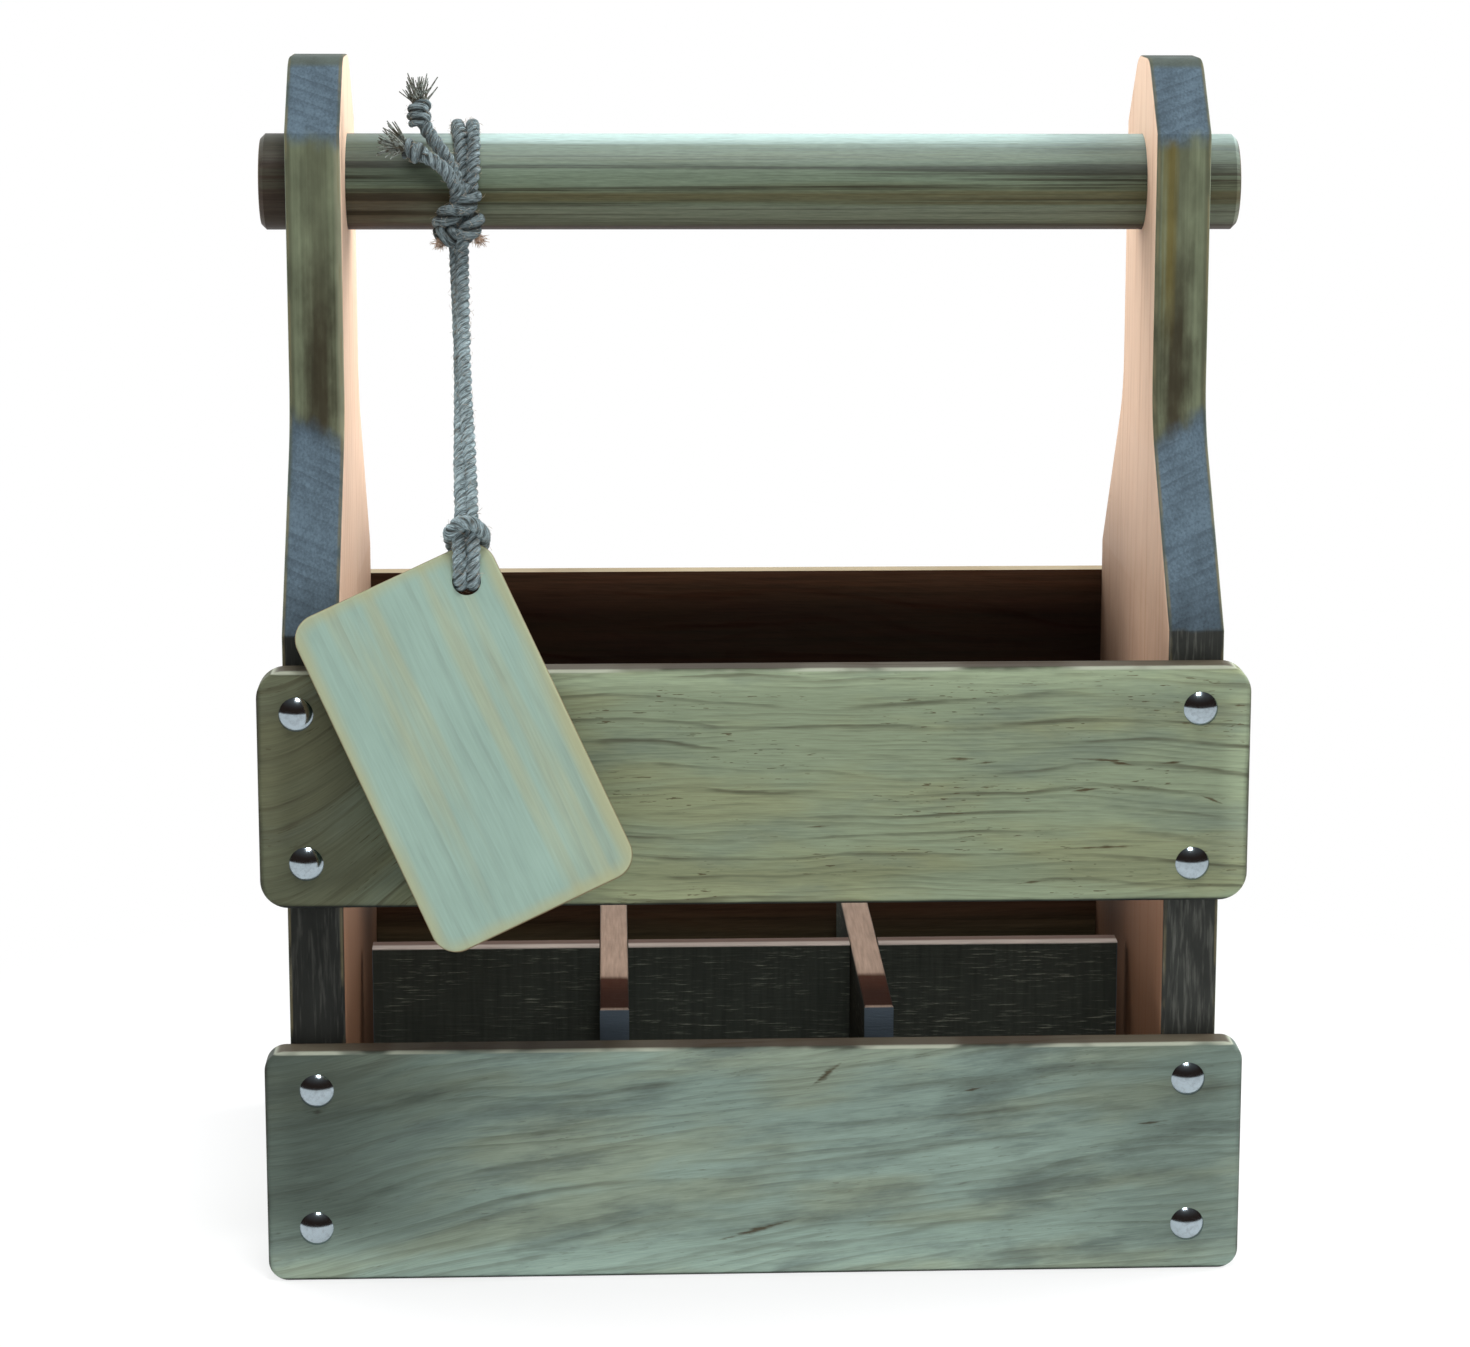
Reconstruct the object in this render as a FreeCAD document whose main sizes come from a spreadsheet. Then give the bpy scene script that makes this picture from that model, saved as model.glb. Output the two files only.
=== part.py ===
import FreeCAD, Part
import Sketcher
import math
import os

# Wooden caddy for six bottles.
# Millimetres, +Z up, X to the right, front at -Y, origin under the middle of the floor.

Vector = FreeCAD.Vector
Rotation = FreeCAD.Rotation

DRIVING_SIZES = {
    # Side boards
    "crate_width": 300.0,
    "board_thickness": 18.0,
    "board_depth": 176.0,
    "shoulder_rise": 9.6,
    "slope_rise": 61.0,
    "neck_depth": 73.4,
    "neck_sweep_radius": 35.0,
    "head_rise": 18.3,
    "crest_rise": 23.2,
    "crest_width": 27.0,
    "crest_radius": 14.0,
    "board_edge_radius": 0.8,
    # Handle dowel
    "dowel_diameter": 31.7,
    "dowel_rise": 75.0,
    "left_stub": 10.5,
    "right_stub": 13.5,
    "dowel_end_chamfer": 1.6,
    "glue_line": 0.1,
    # Rails
    "rail_overhang": 7.8,
    "rail_thickness": 9.5,
    "rail_height": 77.0,
    "rail_gap": 47.4,
    "back_rail_drop": 1.8,
    "upper_corner_radius": 9.0,
    "lower_corner_radius": 6.5,
    "rail_edge_radius": 1.4,
    # Floor slats
    "slat_thickness": 9.5,
    "slat_side_gap": 5.0,
    "slat_gap": 6.0,
    "slat_edge_chamfer": 0.6,
    # Divider insert
    "divider_thickness": 9.5,
    "divider_height": 75.6,
    "divider_spacing": 86.2,
    "divider_shift": 2.5,
    "divider_end_gap": 3.7,
    "divider_side_gap": 7.2,
    "divider_edge_chamfer": 0.5,
    "lap_clearance": 0.2,
    "seat_clearance": 0.3,
    # Dome-headed nails
    "dome_diameter": 10.6,
    "dome_height": 2.4,
    "dome_shank": 2.4,
    "dome_nail_length": 28.0,
    # Floor nails
    "pin_head_diameter": 3.4,
    "pin_head_height": 1.5,
    "pin_shank": 2.0,
    "pin_length": 45.0,
    "nail_point": 3.5,
    "nail_clearance": 0.1,
    # Tag
    "tag_width": 68.0,
    "tag_height": 115.5,
    "tag_thickness": 6.0,
    "tag_corner_radius": 8.0,
    "tag_edge_radius": 1.0,
    "tag_hole_diameter": 9.0,
    "tag_hole_inset": 11.0,
    "tag_hole_step": 1.3,
    "tag_hole_rise": 27.5,
    # Cord
    "cord_diameter": 3.7,
    "cord_clearance": 0.35,
    "strand_gap": 0.5,
    "turn_pitch": 5.0,
    "cord_inset": 42.1,
    "knot_width": 15.0,
    "knot_depth": 12.5,
    "knot_height": 19.0,
    "stopper_width": 7.5,
    "stopper_height": 11.0,
    "fray_length": 6.0,
    "fray_width": 7.5,
}

# Places on a piece, as shares of the size that they follow
DRIVING_SHARES = {
    "upper_left_high_inset_share": 0.26,
    "upper_left_high_level_share": 0.82,
    "upper_left_low_inset_share": 0.39,
    "upper_left_low_level_share": 0.19,
    "upper_right_high_inset_share": 0.47,
    "upper_right_high_level_share": 0.82,
    "upper_right_low_inset_share": 0.56,
    "upper_right_low_level_share": 0.16,
    "lower_left_high_inset_share": 0.49,
    "lower_left_high_level_share": 0.83,
    "lower_left_low_inset_share": 0.44,
    "lower_left_low_level_share": 0.23,
    "lower_right_high_inset_share": 0.55,
    "lower_right_high_level_share": 0.84,
    "lower_right_low_inset_share": 0.51,
    "lower_right_low_level_share": 0.20,
    "slat_pin_spread_share": 0.28,
}

# Angles in degrees
TAG_TILT = 16.0
TAG_TURN = 25.0
KNOT_ANGLE = -21.0
TURNS_START_ANGLE = 34.0
TURNS_END_ANGLE = 646.0
TURN_SPAN_COUNT = 7

doc = FreeCAD.newDocument("bottle_caddy")
sheet = doc.addObject("Spreadsheet::Sheet", "sizes")


class Size:
    """A length with the sheet formula that gives it."""

    def __init__(self, value, formula):
        self.value = value
        self.formula = formula

    def __add__(self, other):
        return Size(self.value + other.value, f"({self.formula} + {other.formula})")

    def __sub__(self, other):
        return Size(self.value - other.value, f"({self.formula} - {other.formula})")

    def __mul__(self, factor):
        if isinstance(factor, Size):
            return Size(self.value * factor.value, f"({self.formula} * {factor.formula})")
        return Size(self.value * factor, f"({self.formula} * {factor})")

    def __truediv__(self, divisor):
        return Size(self.value / divisor, f"({self.formula} / {divisor})")

    def __neg__(self):
        return Size(-self.value, f"(-{self.formula})")


def read_sheet():
    """Fill the sheet and return every cell as a Size under its alias."""
    cells = {}
    for row, (alias, number) in enumerate({**DRIVING_SIZES, **DRIVING_SHARES}.items(), start=1):
        sheet.set(f"A{row}", alias)
        sheet.set(f"B{row}", str(number))
        sheet.setAlias(f"B{row}", alias)
        cells[alias] = Size(number, f"sizes.{alias}")
    doc.recompute()
    return cells


cell = read_sheet()
ZERO = Size(0.0, "0")


def make_body(label):
    body = doc.addObject("PartDesign::Body", label)
    body.Label = label
    return body


def place(thing, x, y, z, rotation=Rotation()):
    """Turn a piece, then bind its place to the sheet."""
    thing.Placement = FreeCAD.Placement(Vector(x.value, y.value, z.value), rotation)
    for axis, size in zip("xyz", (x, y, z)):
        if size is not ZERO:
            thing.setExpression(f"Placement.Base.{axis}", size.formula)


def sketch_on(body, role, lift=ZERO):
    """A sketch on one of the body's origin planes, lifted along the plane's normal."""
    sketch = body.newObject("Sketcher::SketchObject", f"{body.Name}_sketch")
    plane = next(feature for feature in body.Origin.OriginFeatures if feature.Role == role)
    sketch.AttachmentSupport = [(plane, "")]
    sketch.MapMode = "FlatFace"
    if lift is not ZERO:
        sketch.AttachmentOffset = FreeCAD.Placement(Vector(0, 0, lift.value), Rotation())
        sketch.setExpression("AttachmentOffset.Base.z", lift.formula)
    return sketch


def pin_point(sketch, geometry, corner, x, y):
    """Tie one point of a sketch to the sketch's origin by two sheet formulas."""
    for kind, axis, size in (("DistanceX", -2, x), ("DistanceY", -1, y)):
        if size is ZERO:
            sketch.addConstraint(Sketcher.Constraint("PointOnObject", geometry, corner, axis))
            continue
        if size.value < 0:
            rule = Sketcher.Constraint(kind, geometry, corner, -1, 1, -size.value)
            size = -size
        else:
            rule = Sketcher.Constraint(kind, -1, 1, geometry, corner, size.value)
        index = sketch.addConstraint(rule)
        sketch.setExpression(f"Constraints[{index}]", size.formula)


def draw_outline(sketch, corners):
    """A closed outline of straight sides, each corner tied to the sheet."""
    first = sketch.GeometryCount
    count = len(corners)
    for index, (x, y) in enumerate(corners):
        next_x, next_y = corners[(index + 1) % count]
        start = Vector(x.value, y.value, 0)
        end = Vector(next_x.value, next_y.value, 0)
        sketch.addGeometry(Part.LineSegment(start, end), False)
    for index, (x, y) in enumerate(corners):
        after = (index + 1) % count
        sketch.addConstraint(Sketcher.Constraint("Coincident", first + index, 2, first + after, 1))
        pin_point(sketch, first + index, 1, x, y)


def draw_circle(sketch, x, y, diameter):
    centre = Vector(x.value, y.value, 0)
    index = sketch.addGeometry(Part.Circle(centre, Vector(0, 0, 1), diameter.value / 2), False)
    pin_point(sketch, index, 3, x, y)
    rule = sketch.addConstraint(Sketcher.Constraint("Diameter", index, diameter.value))
    sketch.setExpression(f"Constraints[{rule}]", diameter.formula)


def add_pad(body, sketch, length, symmetric=False):
    pad = body.newObject("PartDesign::Pad", f"{body.Name}_pad")
    pad.Profile = sketch
    pad.setExpression("Length", length.formula)
    pad.SideType = "Symmetric" if symmetric else "One side"
    doc.recompute()
    return pad


def add_pocket(body, sketch, length=None, reverse=False):
    """Cut a sketch into the body, right through where no length is given."""
    before = body.Shape.Volume
    pocket = body.newObject("PartDesign::Pocket", f"{body.Name}_pocket")
    pocket.Profile = sketch
    if length is None:
        pocket.SideType = "Symmetric"
        pocket.Type = "ThroughAll"
    else:
        pocket.setExpression("Length", length.formula)
        pocket.Reversed = reverse
    doc.recompute()
    if body.Shape.Volume >= before:
        raise ValueError(f"{pocket.Name} in {body.Label} cuts nothing")
    return pocket


def soften(body, kind, size, chosen):
    """Round or chamfer the edges of the body that the test picks."""
    base = body.Tip
    names = [f"Edge{i}" for i, edge in enumerate(base.Shape.Edges, start=1) if chosen(edge)]
    feature = body.newObject(f"PartDesign::{kind}", f"{body.Name}_{kind.lower()}")
    feature.Base = (base, names)
    feature.setExpression("Radius" if kind == "Fillet" else "Size", size.formula)
    doc.recompute()
    return feature


NEAR_SHARE = 1e-4


def near(a, b):
    return abs(a - b) < NEAR_SHARE * cell["crate_width"].value


def runs_along(edge, axis):
    """True for a straight edge along one axis, 0 for X, 1 for Y and 2 for Z."""
    if not isinstance(edge.Curve, Part.Line):
        return False
    return near(abs(edge.Curve.Direction[axis]) * edge.Length, edge.Length)


def lies_at(edge, axis, value):
    """True for an edge that lies wholly in the plane at this value of one axis."""
    box = edge.BoundBox
    low = (box.XMin, box.YMin, box.ZMin)[axis]
    high = (box.XMax, box.YMax, box.ZMax)[axis]
    return near(low, value) and near(high, value)


# Places that several pieces share

half_width = cell["crate_width"] / 2
half_depth = cell["board_depth"] / 2
inner_width = cell["crate_width"] - cell["board_thickness"] * 2
rail_length = cell["crate_width"] + cell["rail_overhang"] * 2
upper_rail_foot = cell["rail_height"] + cell["rail_gap"]
upper_rail_top = upper_rail_foot + cell["rail_height"]
shoulder_height = upper_rail_top + cell["shoulder_rise"]
neck_foot_height = shoulder_height + cell["slope_rise"]
dowel_height = neck_foot_height + cell["dowel_rise"]
head_height = dowel_height + cell["head_rise"]
board_height = head_height + cell["crest_rise"]
rail_face = half_depth + cell["rail_thickness"]
dome_hole = cell["dome_shank"] + cell["nail_clearance"] * 2
dome_hole_depth = cell["dome_nail_length"] - cell["rail_thickness"] + cell["nail_clearance"]
pin_hole = cell["pin_shank"] + cell["nail_clearance"] * 2
slat_width = half_depth - cell["slat_side_gap"] - cell["slat_gap"] / 2
slat_offset = (slat_width + cell["slat_gap"]) / 2
pin_spread = slat_width * cell["slat_pin_spread_share"]
pin_places = (-slat_offset - pin_spread, -slat_offset + pin_spread,
              slat_offset - pin_spread, slat_offset + pin_spread)

RAIL_ROWS = ("lower", "upper")
RAIL_FACES = ("front", "back")
ENDS = ("left", "right")
LEVELS = ("high", "low")
OTHER_END = {"left": "right", "right": "left"}


def rail_foot(row, face):
    """Height of a rail's lower edge."""
    if row == "lower":
        return ZERO
    return upper_rail_foot - cell["back_rail_drop"] if face == "back" else upper_rail_foot


def nail_inset(row, end, level):
    """A rail nail's distance from the outer face of the board that it is driven into."""
    return cell["board_thickness"] * cell[f"{row}_{end}_{level}_inset_share"]


def nail_level(row, end, level):
    """A rail nail's height above the rail's lower edge."""
    return cell["rail_height"] * cell[f"{row}_{end}_{level}_level_share"]


# Side boards: a profile across the depth, holed for the dowel, the rail nails and the floor nails


def make_side_board(side):
    board = make_body(f"{side}_side_board")
    neck = cell["neck_depth"] / 2
    crest = cell["crest_width"] / 2
    front = [(-half_depth, ZERO), (-half_depth, shoulder_height), (-neck, neck_foot_height),
             (-neck, head_height), (-crest, board_height)]
    back = [(-y, z) for y, z in reversed(front)]
    profile = sketch_on(board, "YZ_Plane")
    draw_outline(profile, front + back)
    add_pad(board, profile, cell["board_thickness"])

    def at_neck_foot(edge):
        return runs_along(edge, 0) and lies_at(edge, 2, neck_foot_height.value)

    def at_crest(edge):
        return runs_along(edge, 0) and lies_at(edge, 2, board_height.value)

    soften(board, "Fillet", cell["neck_sweep_radius"], at_neck_foot)
    soften(board, "Fillet", cell["crest_radius"], at_crest)

    def on_a_face(edge):
        return lies_at(edge, 0, 0) or lies_at(edge, 0, cell["board_thickness"].value)

    soften(board, "Fillet", cell["board_edge_radius"], on_a_face)

    bore = sketch_on(board, "YZ_Plane")
    draw_circle(bore, ZERO, dowel_height, cell["dowel_diameter"] + cell["glue_line"] * 2)
    add_pocket(board, bore)

    for face in RAIL_FACES:
        own_end = side if face == "front" else OTHER_END[side]
        lift = half_depth if face == "front" else -half_depth
        holes = sketch_on(board, "XZ_Plane", lift)
        for row in RAIL_ROWS:
            for level in LEVELS:
                inset = nail_inset(row, own_end, level)
                across = inset if side == "left" else cell["board_thickness"] - inset
                height = rail_foot(row, face) + nail_level(row, own_end, level)
                draw_circle(holes, across, height, dome_hole)
        add_pocket(board, holes, dome_hole_depth, reverse=face == "back")

    pins = sketch_on(board, "YZ_Plane")
    for y in pin_places:
        draw_circle(pins, y, cell["slat_thickness"] / 2, pin_hole)
    add_pocket(board, pins)
    heads = sketch_on(board, "YZ_Plane", ZERO if side == "left" else cell["board_thickness"])
    for y in pin_places:
        draw_circle(heads, y, cell["slat_thickness"] / 2, cell["pin_head_diameter"] + cell["nail_clearance"] * 2)
    add_pocket(board, heads, cell["pin_head_height"], reverse=side == "left")
    place(board, -half_width if side == "left" else half_width - cell["board_thickness"], ZERO, ZERO)
    return board


# Handle dowel: through both boards, with chamfered ends


def make_dowel():
    dowel = make_body("handle_dowel")
    section = sketch_on(dowel, "YZ_Plane")
    draw_circle(section, ZERO, ZERO, cell["dowel_diameter"])
    add_pad(dowel, section, cell["crate_width"] + cell["left_stub"] + cell["right_stub"])
    soften(dowel, "Chamfer", cell["dowel_end_chamfer"], lambda edge: not runs_along(edge, 0))
    place(dowel, -half_width - cell["left_stub"], ZERO, dowel_height)
    return dowel


# Rails: flat slats with rounded corners and softened edges, holed for four nails each


def make_rail(row, face):
    rail = make_body(f"{row}_{face}_rail")
    half_length = rail_length / 2
    outline = sketch_on(rail, "XZ_Plane")
    draw_outline(outline, [(-half_length, ZERO), (half_length, ZERO),
                           (half_length, cell["rail_height"]), (-half_length, cell["rail_height"])])
    add_pad(rail, outline, cell["rail_thickness"])
    soften(rail, "Fillet", cell[f"{row}_corner_radius"], lambda edge: runs_along(edge, 1))
    outer = -cell["rail_thickness"].value
    soften(rail, "Fillet", cell["rail_edge_radius"], lambda edge: lies_at(edge, 1, outer))
    holes = sketch_on(rail, "XZ_Plane")
    for end in ENDS:
        for level in LEVELS:
            x = half_width - nail_inset(row, end, level)
            draw_circle(holes, -x if end == "left" else x, nail_level(row, end, level), dome_hole)
    add_pocket(rail, holes)
    turn = Rotation() if face == "front" else Rotation(Vector(0, 0, 1), 180)
    place(rail, ZERO, -half_depth if face == "front" else half_depth, rail_foot(row, face), turn)
    return rail


# Floor slats: one under each row of bottles, holed at the ends for the floor nails


def make_floor_slat(face):
    slat = make_body(f"floor_slat_{face}")
    half_length = inner_width / 2
    half_slat = slat_width / 2
    section = sketch_on(slat, "YZ_Plane")
    draw_outline(section, [(-half_slat, ZERO), (half_slat, ZERO),
                           (half_slat, cell["slat_thickness"]), (-half_slat, cell["slat_thickness"])])
    add_pad(slat, section, inner_width, symmetric=True)
    soften(slat, "Chamfer", cell["slat_edge_chamfer"], lambda edge: runs_along(edge, 0))
    depth = cell["pin_length"] - cell["board_thickness"] + cell["nail_clearance"]
    for end in ENDS:
        holes = sketch_on(slat, "YZ_Plane", -half_length if end == "left" else half_length)
        for y in (-pin_spread, pin_spread):
            draw_circle(holes, y, cell["slat_thickness"] / 2, pin_hole)
        add_pocket(slat, holes, depth, reverse=end == "left")
    place(slat, ZERO, -slat_offset if face == "front" else slat_offset, ZERO)
    return slat


# Divider insert: a long cross divider with two slots from above, and two short ones with a slot from below

divider_foot = cell["slat_thickness"] + cell["seat_clearance"]
lap_half = cell["divider_thickness"] / 2 + cell["lap_clearance"]
lap_level = cell["divider_height"] / 2
divider_places = {"left": -cell["divider_spacing"] / 2 - cell["divider_shift"],
                  "right": cell["divider_spacing"] / 2 - cell["divider_shift"]}


def make_cross_divider():
    divider = make_body("cross_divider")
    half_length = inner_width / 2 - cell["divider_end_gap"]
    slot_floor = lap_level - cell["lap_clearance"] / 2
    top = cell["divider_height"]
    corners = [(-half_length, ZERO), (half_length, ZERO), (half_length, top)]
    for end in ("right", "left"):
        x = divider_places[end]
        corners += [(x + lap_half, top), (x + lap_half, slot_floor), (x - lap_half, slot_floor), (x - lap_half, top)]
    corners.append((-half_length, top))
    outline = sketch_on(divider, "XZ_Plane")
    draw_outline(outline, corners)
    add_pad(divider, outline, cell["divider_thickness"], symmetric=True)
    soften(divider, "Chamfer", cell["divider_edge_chamfer"],
           lambda edge: runs_along(edge, 0) and lies_at(edge, 2, top.value))
    place(divider, ZERO, ZERO, divider_foot)
    return divider


def make_short_divider(end):
    divider = make_body(f"{end}_divider")
    half_length = half_depth - cell["divider_side_gap"]
    slot_top = lap_level + cell["lap_clearance"] / 2
    top = cell["divider_height"]
    outline = sketch_on(divider, "YZ_Plane")
    draw_outline(outline, [(-half_length, ZERO), (-lap_half, ZERO), (-lap_half, slot_top), (lap_half, slot_top),
                           (lap_half, ZERO), (half_length, ZERO), (half_length, top), (-half_length, top)])
    add_pad(divider, outline, cell["divider_thickness"], symmetric=True)
    soften(divider, "Chamfer", cell["divider_edge_chamfer"],
           lambda edge: runs_along(edge, 1) and lies_at(edge, 2, top.value))
    place(divider, divider_places[end], ZERO, divider_foot)
    return divider


# Nails: each a turned profile about its own Y axis, the head at the origin and the point at +Y


def make_dome_nail(name):
    nail = make_body(name)
    rim = cell["dome_diameter"] / 2
    shank = cell["dome_shank"] / 2
    length = cell["dome_nail_length"]
    rise = cell["dome_height"]
    ball = (rim.value ** 2 + rise.value ** 2) / (2 * rise.value)
    centre = Vector(0, ball - rise.value, 0)
    profile = sketch_on(nail, "XY_Plane")
    rim_angle = math.atan2(-centre.y, rim.value)
    circle = Part.Circle(centre, Vector(0, 0, 1), ball)
    profile.addGeometry(Part.ArcOfCircle(circle, -math.pi / 2, rim_angle), False)
    profile.addConstraint(Sketcher.Constraint("PointOnObject", 0, 3, -2))
    pin_point(profile, 0, 1, ZERO, -rise)
    corners = [(rim, ZERO), (shank, ZERO), (shank, length - cell["nail_point"]), (ZERO, length), (ZERO, -rise)]
    for index in range(len(corners) - 1):
        ends = [Vector(x.value, y.value, 0) for x, y in corners[index:index + 2]]
        profile.addGeometry(Part.LineSegment(*ends), False)
        profile.addConstraint(Sketcher.Constraint("Coincident", index, 2, index + 1, 1))
        pin_point(profile, index + 1, 1, *corners[index])
    profile.addConstraint(Sketcher.Constraint("Coincident", len(corners) - 1, 2, 0, 1))
    add_turning(nail, profile)
    return nail


def make_pin(name):
    pin = make_body(name)
    head = cell["pin_head_diameter"] / 2
    shank = cell["pin_shank"] / 2
    profile = sketch_on(pin, "XY_Plane")
    draw_outline(profile, [(ZERO, ZERO), (head, ZERO), (head, cell["pin_head_height"]),
                           (shank, cell["pin_head_height"]), (shank, cell["pin_length"] - cell["nail_point"]),
                           (ZERO, cell["pin_length"])])
    add_turning(pin, profile)
    return pin


def add_turning(body, profile):
    """Turn a profile a full circle about the sketch's own upright axis."""
    turning = body.newObject("PartDesign::Revolution", f"{body.Name}_turning")
    turning.Profile = profile
    turning.ReferenceAxis = (profile, ["V_Axis"])
    turning.Angle = 360
    doc.recompute()


def group(label, pieces):
    """Equal pieces that share one node."""
    node = doc.addObject("Part::Compound", label)
    node.Label = label
    node.Links = pieces
    return node


def make_rail_nails(row, face):
    nails = []
    for end in ENDS:
        for level in LEVELS:
            nail = make_dome_nail(f"{row}_{face}_{end}_{level}_nail")
            x = half_width - nail_inset(row, end, level)
            to_left = (end == "left") == (face == "front")
            turn = Rotation() if face == "front" else Rotation(Vector(0, 0, 1), 180)
            place(nail, -x if to_left else x, -rail_face if face == "front" else rail_face,
                  rail_foot(row, face) + nail_level(row, end, level), turn)
            nails.append(nail)
    return group(f"{row}_{face}_nails", nails)


def make_floor_nails(side):
    quarter_turn = -90 if side == "left" else 90
    pins = []
    for index, y in enumerate(pin_places):
        pin = make_pin(f"{side}_floor_pin_{index}")
        place(pin, -half_width if side == "left" else half_width, y, cell["slat_thickness"] / 2,
              Rotation(Vector(0, 0, 1), quarter_turn))
        pins.append(pin)
    return group(f"{side}_floor_nails", pins)


# Tag: a plate hung by a hole in its corner, leaning on the upper front rail's softened top edge

tag_rotation = Rotation(Vector(1, 0, 0), -TAG_TILT) * Rotation(Vector(0, 1, 0), -TAG_TURN)
tag_lean = Rotation(Vector(1, 0, 0), -TAG_TILT)
lean_sine = math.sin(math.radians(TAG_TILT))
lean_cosine = math.cos(math.radians(TAG_TILT))
edge_round_y = cell["rail_edge_radius"] - rail_face
edge_round_z = upper_rail_top - cell["rail_edge_radius"]
tag_standoff = cell["rail_edge_radius"] + cell["cord_clearance"] + cell["tag_thickness"] / 2
first_turn_offset = inner_width / 2 - cell["cord_inset"]
tag_hole_offset = first_turn_offset + cell["tag_hole_step"]
tag_hole_height = upper_rail_top + cell["tag_hole_rise"]
tag_hole_y = edge_round_y + (tag_hole_height - edge_round_z) * (lean_sine / lean_cosine)
tag_hole_y = tag_hole_y - tag_standoff / lean_cosine


def make_tag():
    tag = make_body("tag")
    inset = cell["tag_hole_inset"]
    left = inset - cell["tag_width"]
    foot = inset - cell["tag_height"]
    outline = sketch_on(tag, "XZ_Plane")
    draw_outline(outline, [(left, foot), (inset, foot), (inset, inset), (left, inset)])
    add_pad(tag, outline, cell["tag_thickness"], symmetric=True)
    soften(tag, "Fillet", cell["tag_corner_radius"], lambda edge: runs_along(edge, 1))
    soften(tag, "Fillet", cell["tag_edge_radius"], lambda edge: not runs_along(edge, 1))
    hole = sketch_on(tag, "XZ_Plane")
    draw_circle(hole, ZERO, ZERO, cell["tag_hole_diameter"])
    add_pocket(tag, hole)
    place(tag, -tag_hole_offset, tag_hole_y, tag_hole_height, tag_rotation)
    return tag


# Cord: tubes along straight runs joined by tangent arcs, and turns round the dowel joined by biarcs

RUN_SHARE = 0.45
cord_radius = cell["cord_diameter"].value / 2
cord_gap = cell["cord_clearance"].value
dowel_axis = Vector(0, 0, dowel_height.value)
turn_radius = cell["dowel_diameter"].value / 2 + cord_gap + cord_radius
tag_hole = Vector(-tag_hole_offset.value, tag_hole_y.value, tag_hole_height.value)


def round_dowel(angle, radius, x):
    """A point at an angle round the dowel, 0 at the front and 90 on top."""
    turn = math.radians(angle)
    return dowel_axis + Vector(x, -radius * math.cos(turn), radius * math.sin(turn))


def along_turn(angle):
    """The direction of travel round the dowel at an angle."""
    turn = math.radians(angle)
    drift = -cell["turn_pitch"].value / (2 * math.pi * turn_radius)
    return Vector(drift, math.sin(turn), math.cos(turn)).normalize()


def arc_from(start, heading, end):
    """The arc that leaves a point in a direction and ends at another point."""
    chord = end - start
    normal = heading.cross(chord)
    side = normal.cross(heading).normalize()
    radius = chord.Length ** 2 / (2 * chord.dot(side))
    centre = start + side * radius
    out = (start - centre) + (end - centre)
    if heading.dot(chord) < 0:
        out = out * -1
    return Part.Arc(start, centre + out.normalize() * radius, end).toShape()


def biarc(start, start_heading, end, end_heading):
    """Two arcs that join two points and share both end directions."""
    chord = end - start
    headings = start_heading + end_heading
    square = 2 * (1 - start_heading.dot(end_heading))
    reach = chord.dot(headings)
    length = (math.sqrt(reach ** 2 + square * chord.dot(chord)) - reach) / square
    middle = (start + end + (start_heading - end_heading) * length) * 0.5
    second = arc_from(end, end_heading * -1, middle)
    return [arc_from(start, start_heading, middle), second]


def rounded_path(points, name):
    """Edges along a route, each corner an arc as large as its two runs allow."""
    edges = []
    radii = []
    here = points[0]
    for before, corner, after in zip(points, points[1:], points[2:]):
        run_in = corner - before
        run_out = after - corner
        half_turn = run_in.getAngle(run_out) / 2
        cut = RUN_SHARE * min(run_in.Length, run_out.Length)
        radius = cut / math.tan(half_turn)
        radii.append(radius)
        run_in.normalize()
        run_out.normalize()
        first = corner - run_in * cut
        last = corner + run_out * cut
        inward = (run_out - run_in).normalize()
        middle = corner + inward * (radius / math.cos(half_turn) - radius)
        edges.append(Part.LineSegment(here, first).toShape())
        edges.append(Part.Arc(first, middle, last).toShape())
        here = last
    edges.append(Part.LineSegment(here, points[-1]).toShape())
    print(name, "bend radii", [round(radius, 1) for radius in radii])
    return edges


def tube(edges, name):
    """A round cord along joined edges, its volume compared with section times length."""
    path = Part.Wire(edges)
    start = path.OrderedVertexes[0].Point
    heading = path.OrderedEdges[0].tangentAt(path.OrderedEdges[0].FirstParameter)
    section = Part.Wire(Part.makeCircle(cord_radius, start, heading))
    solid = path.makePipeShell([section], True, False)
    share = solid.Volume / (math.pi * cord_radius ** 2 * path.Length)
    print(name, "length", round(path.Length, 1), "volume share", round(share, 4))
    return solid, path


def least_self_gap(path, name):
    """Print the least gap between stretches of one tube that are apart along it."""
    step = cord_radius / 2
    count = int(path.Length / step)
    points = path.discretize(Number=count)
    apart = int(math.pi * cord_radius * 2 / step)
    gaps = [a.distanceToPoint(b) for i, a in enumerate(points) for b in points[i + apart:]]
    print(name, "least gap to itself", round(min(gaps) - 2 * cord_radius, 2))


def cord_node(label, solids):
    node = doc.addObject("Part::Feature", label)
    node.Label = label
    node.Shape = solids[0] if len(solids) == 1 else Part.makeCompound(solids)
    return node


# Main knot: a lump on the dowel's front, clear of the turns that pass behind it

knot_reach = turn_radius + cord_radius + cord_gap + cell["knot_depth"].value / 2
knot_x = -first_turn_offset.value - cell["turn_pitch"].value
knot_centre = round_dowel(KNOT_ANGLE, knot_reach, knot_x)


def make_lump(label, centre, width, depth, height):
    lump = doc.addObject("Part::Ellipsoid", label)
    lump.Label = label
    for name, size in (("Radius1", height / 2), ("Radius2", width / 2), ("Radius3", depth / 2)):
        lump.setExpression(name, size.formula)
    lump.Angle1 = -90
    lump.Placement = FreeCAD.Placement(centre, Rotation())
    return lump


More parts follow.
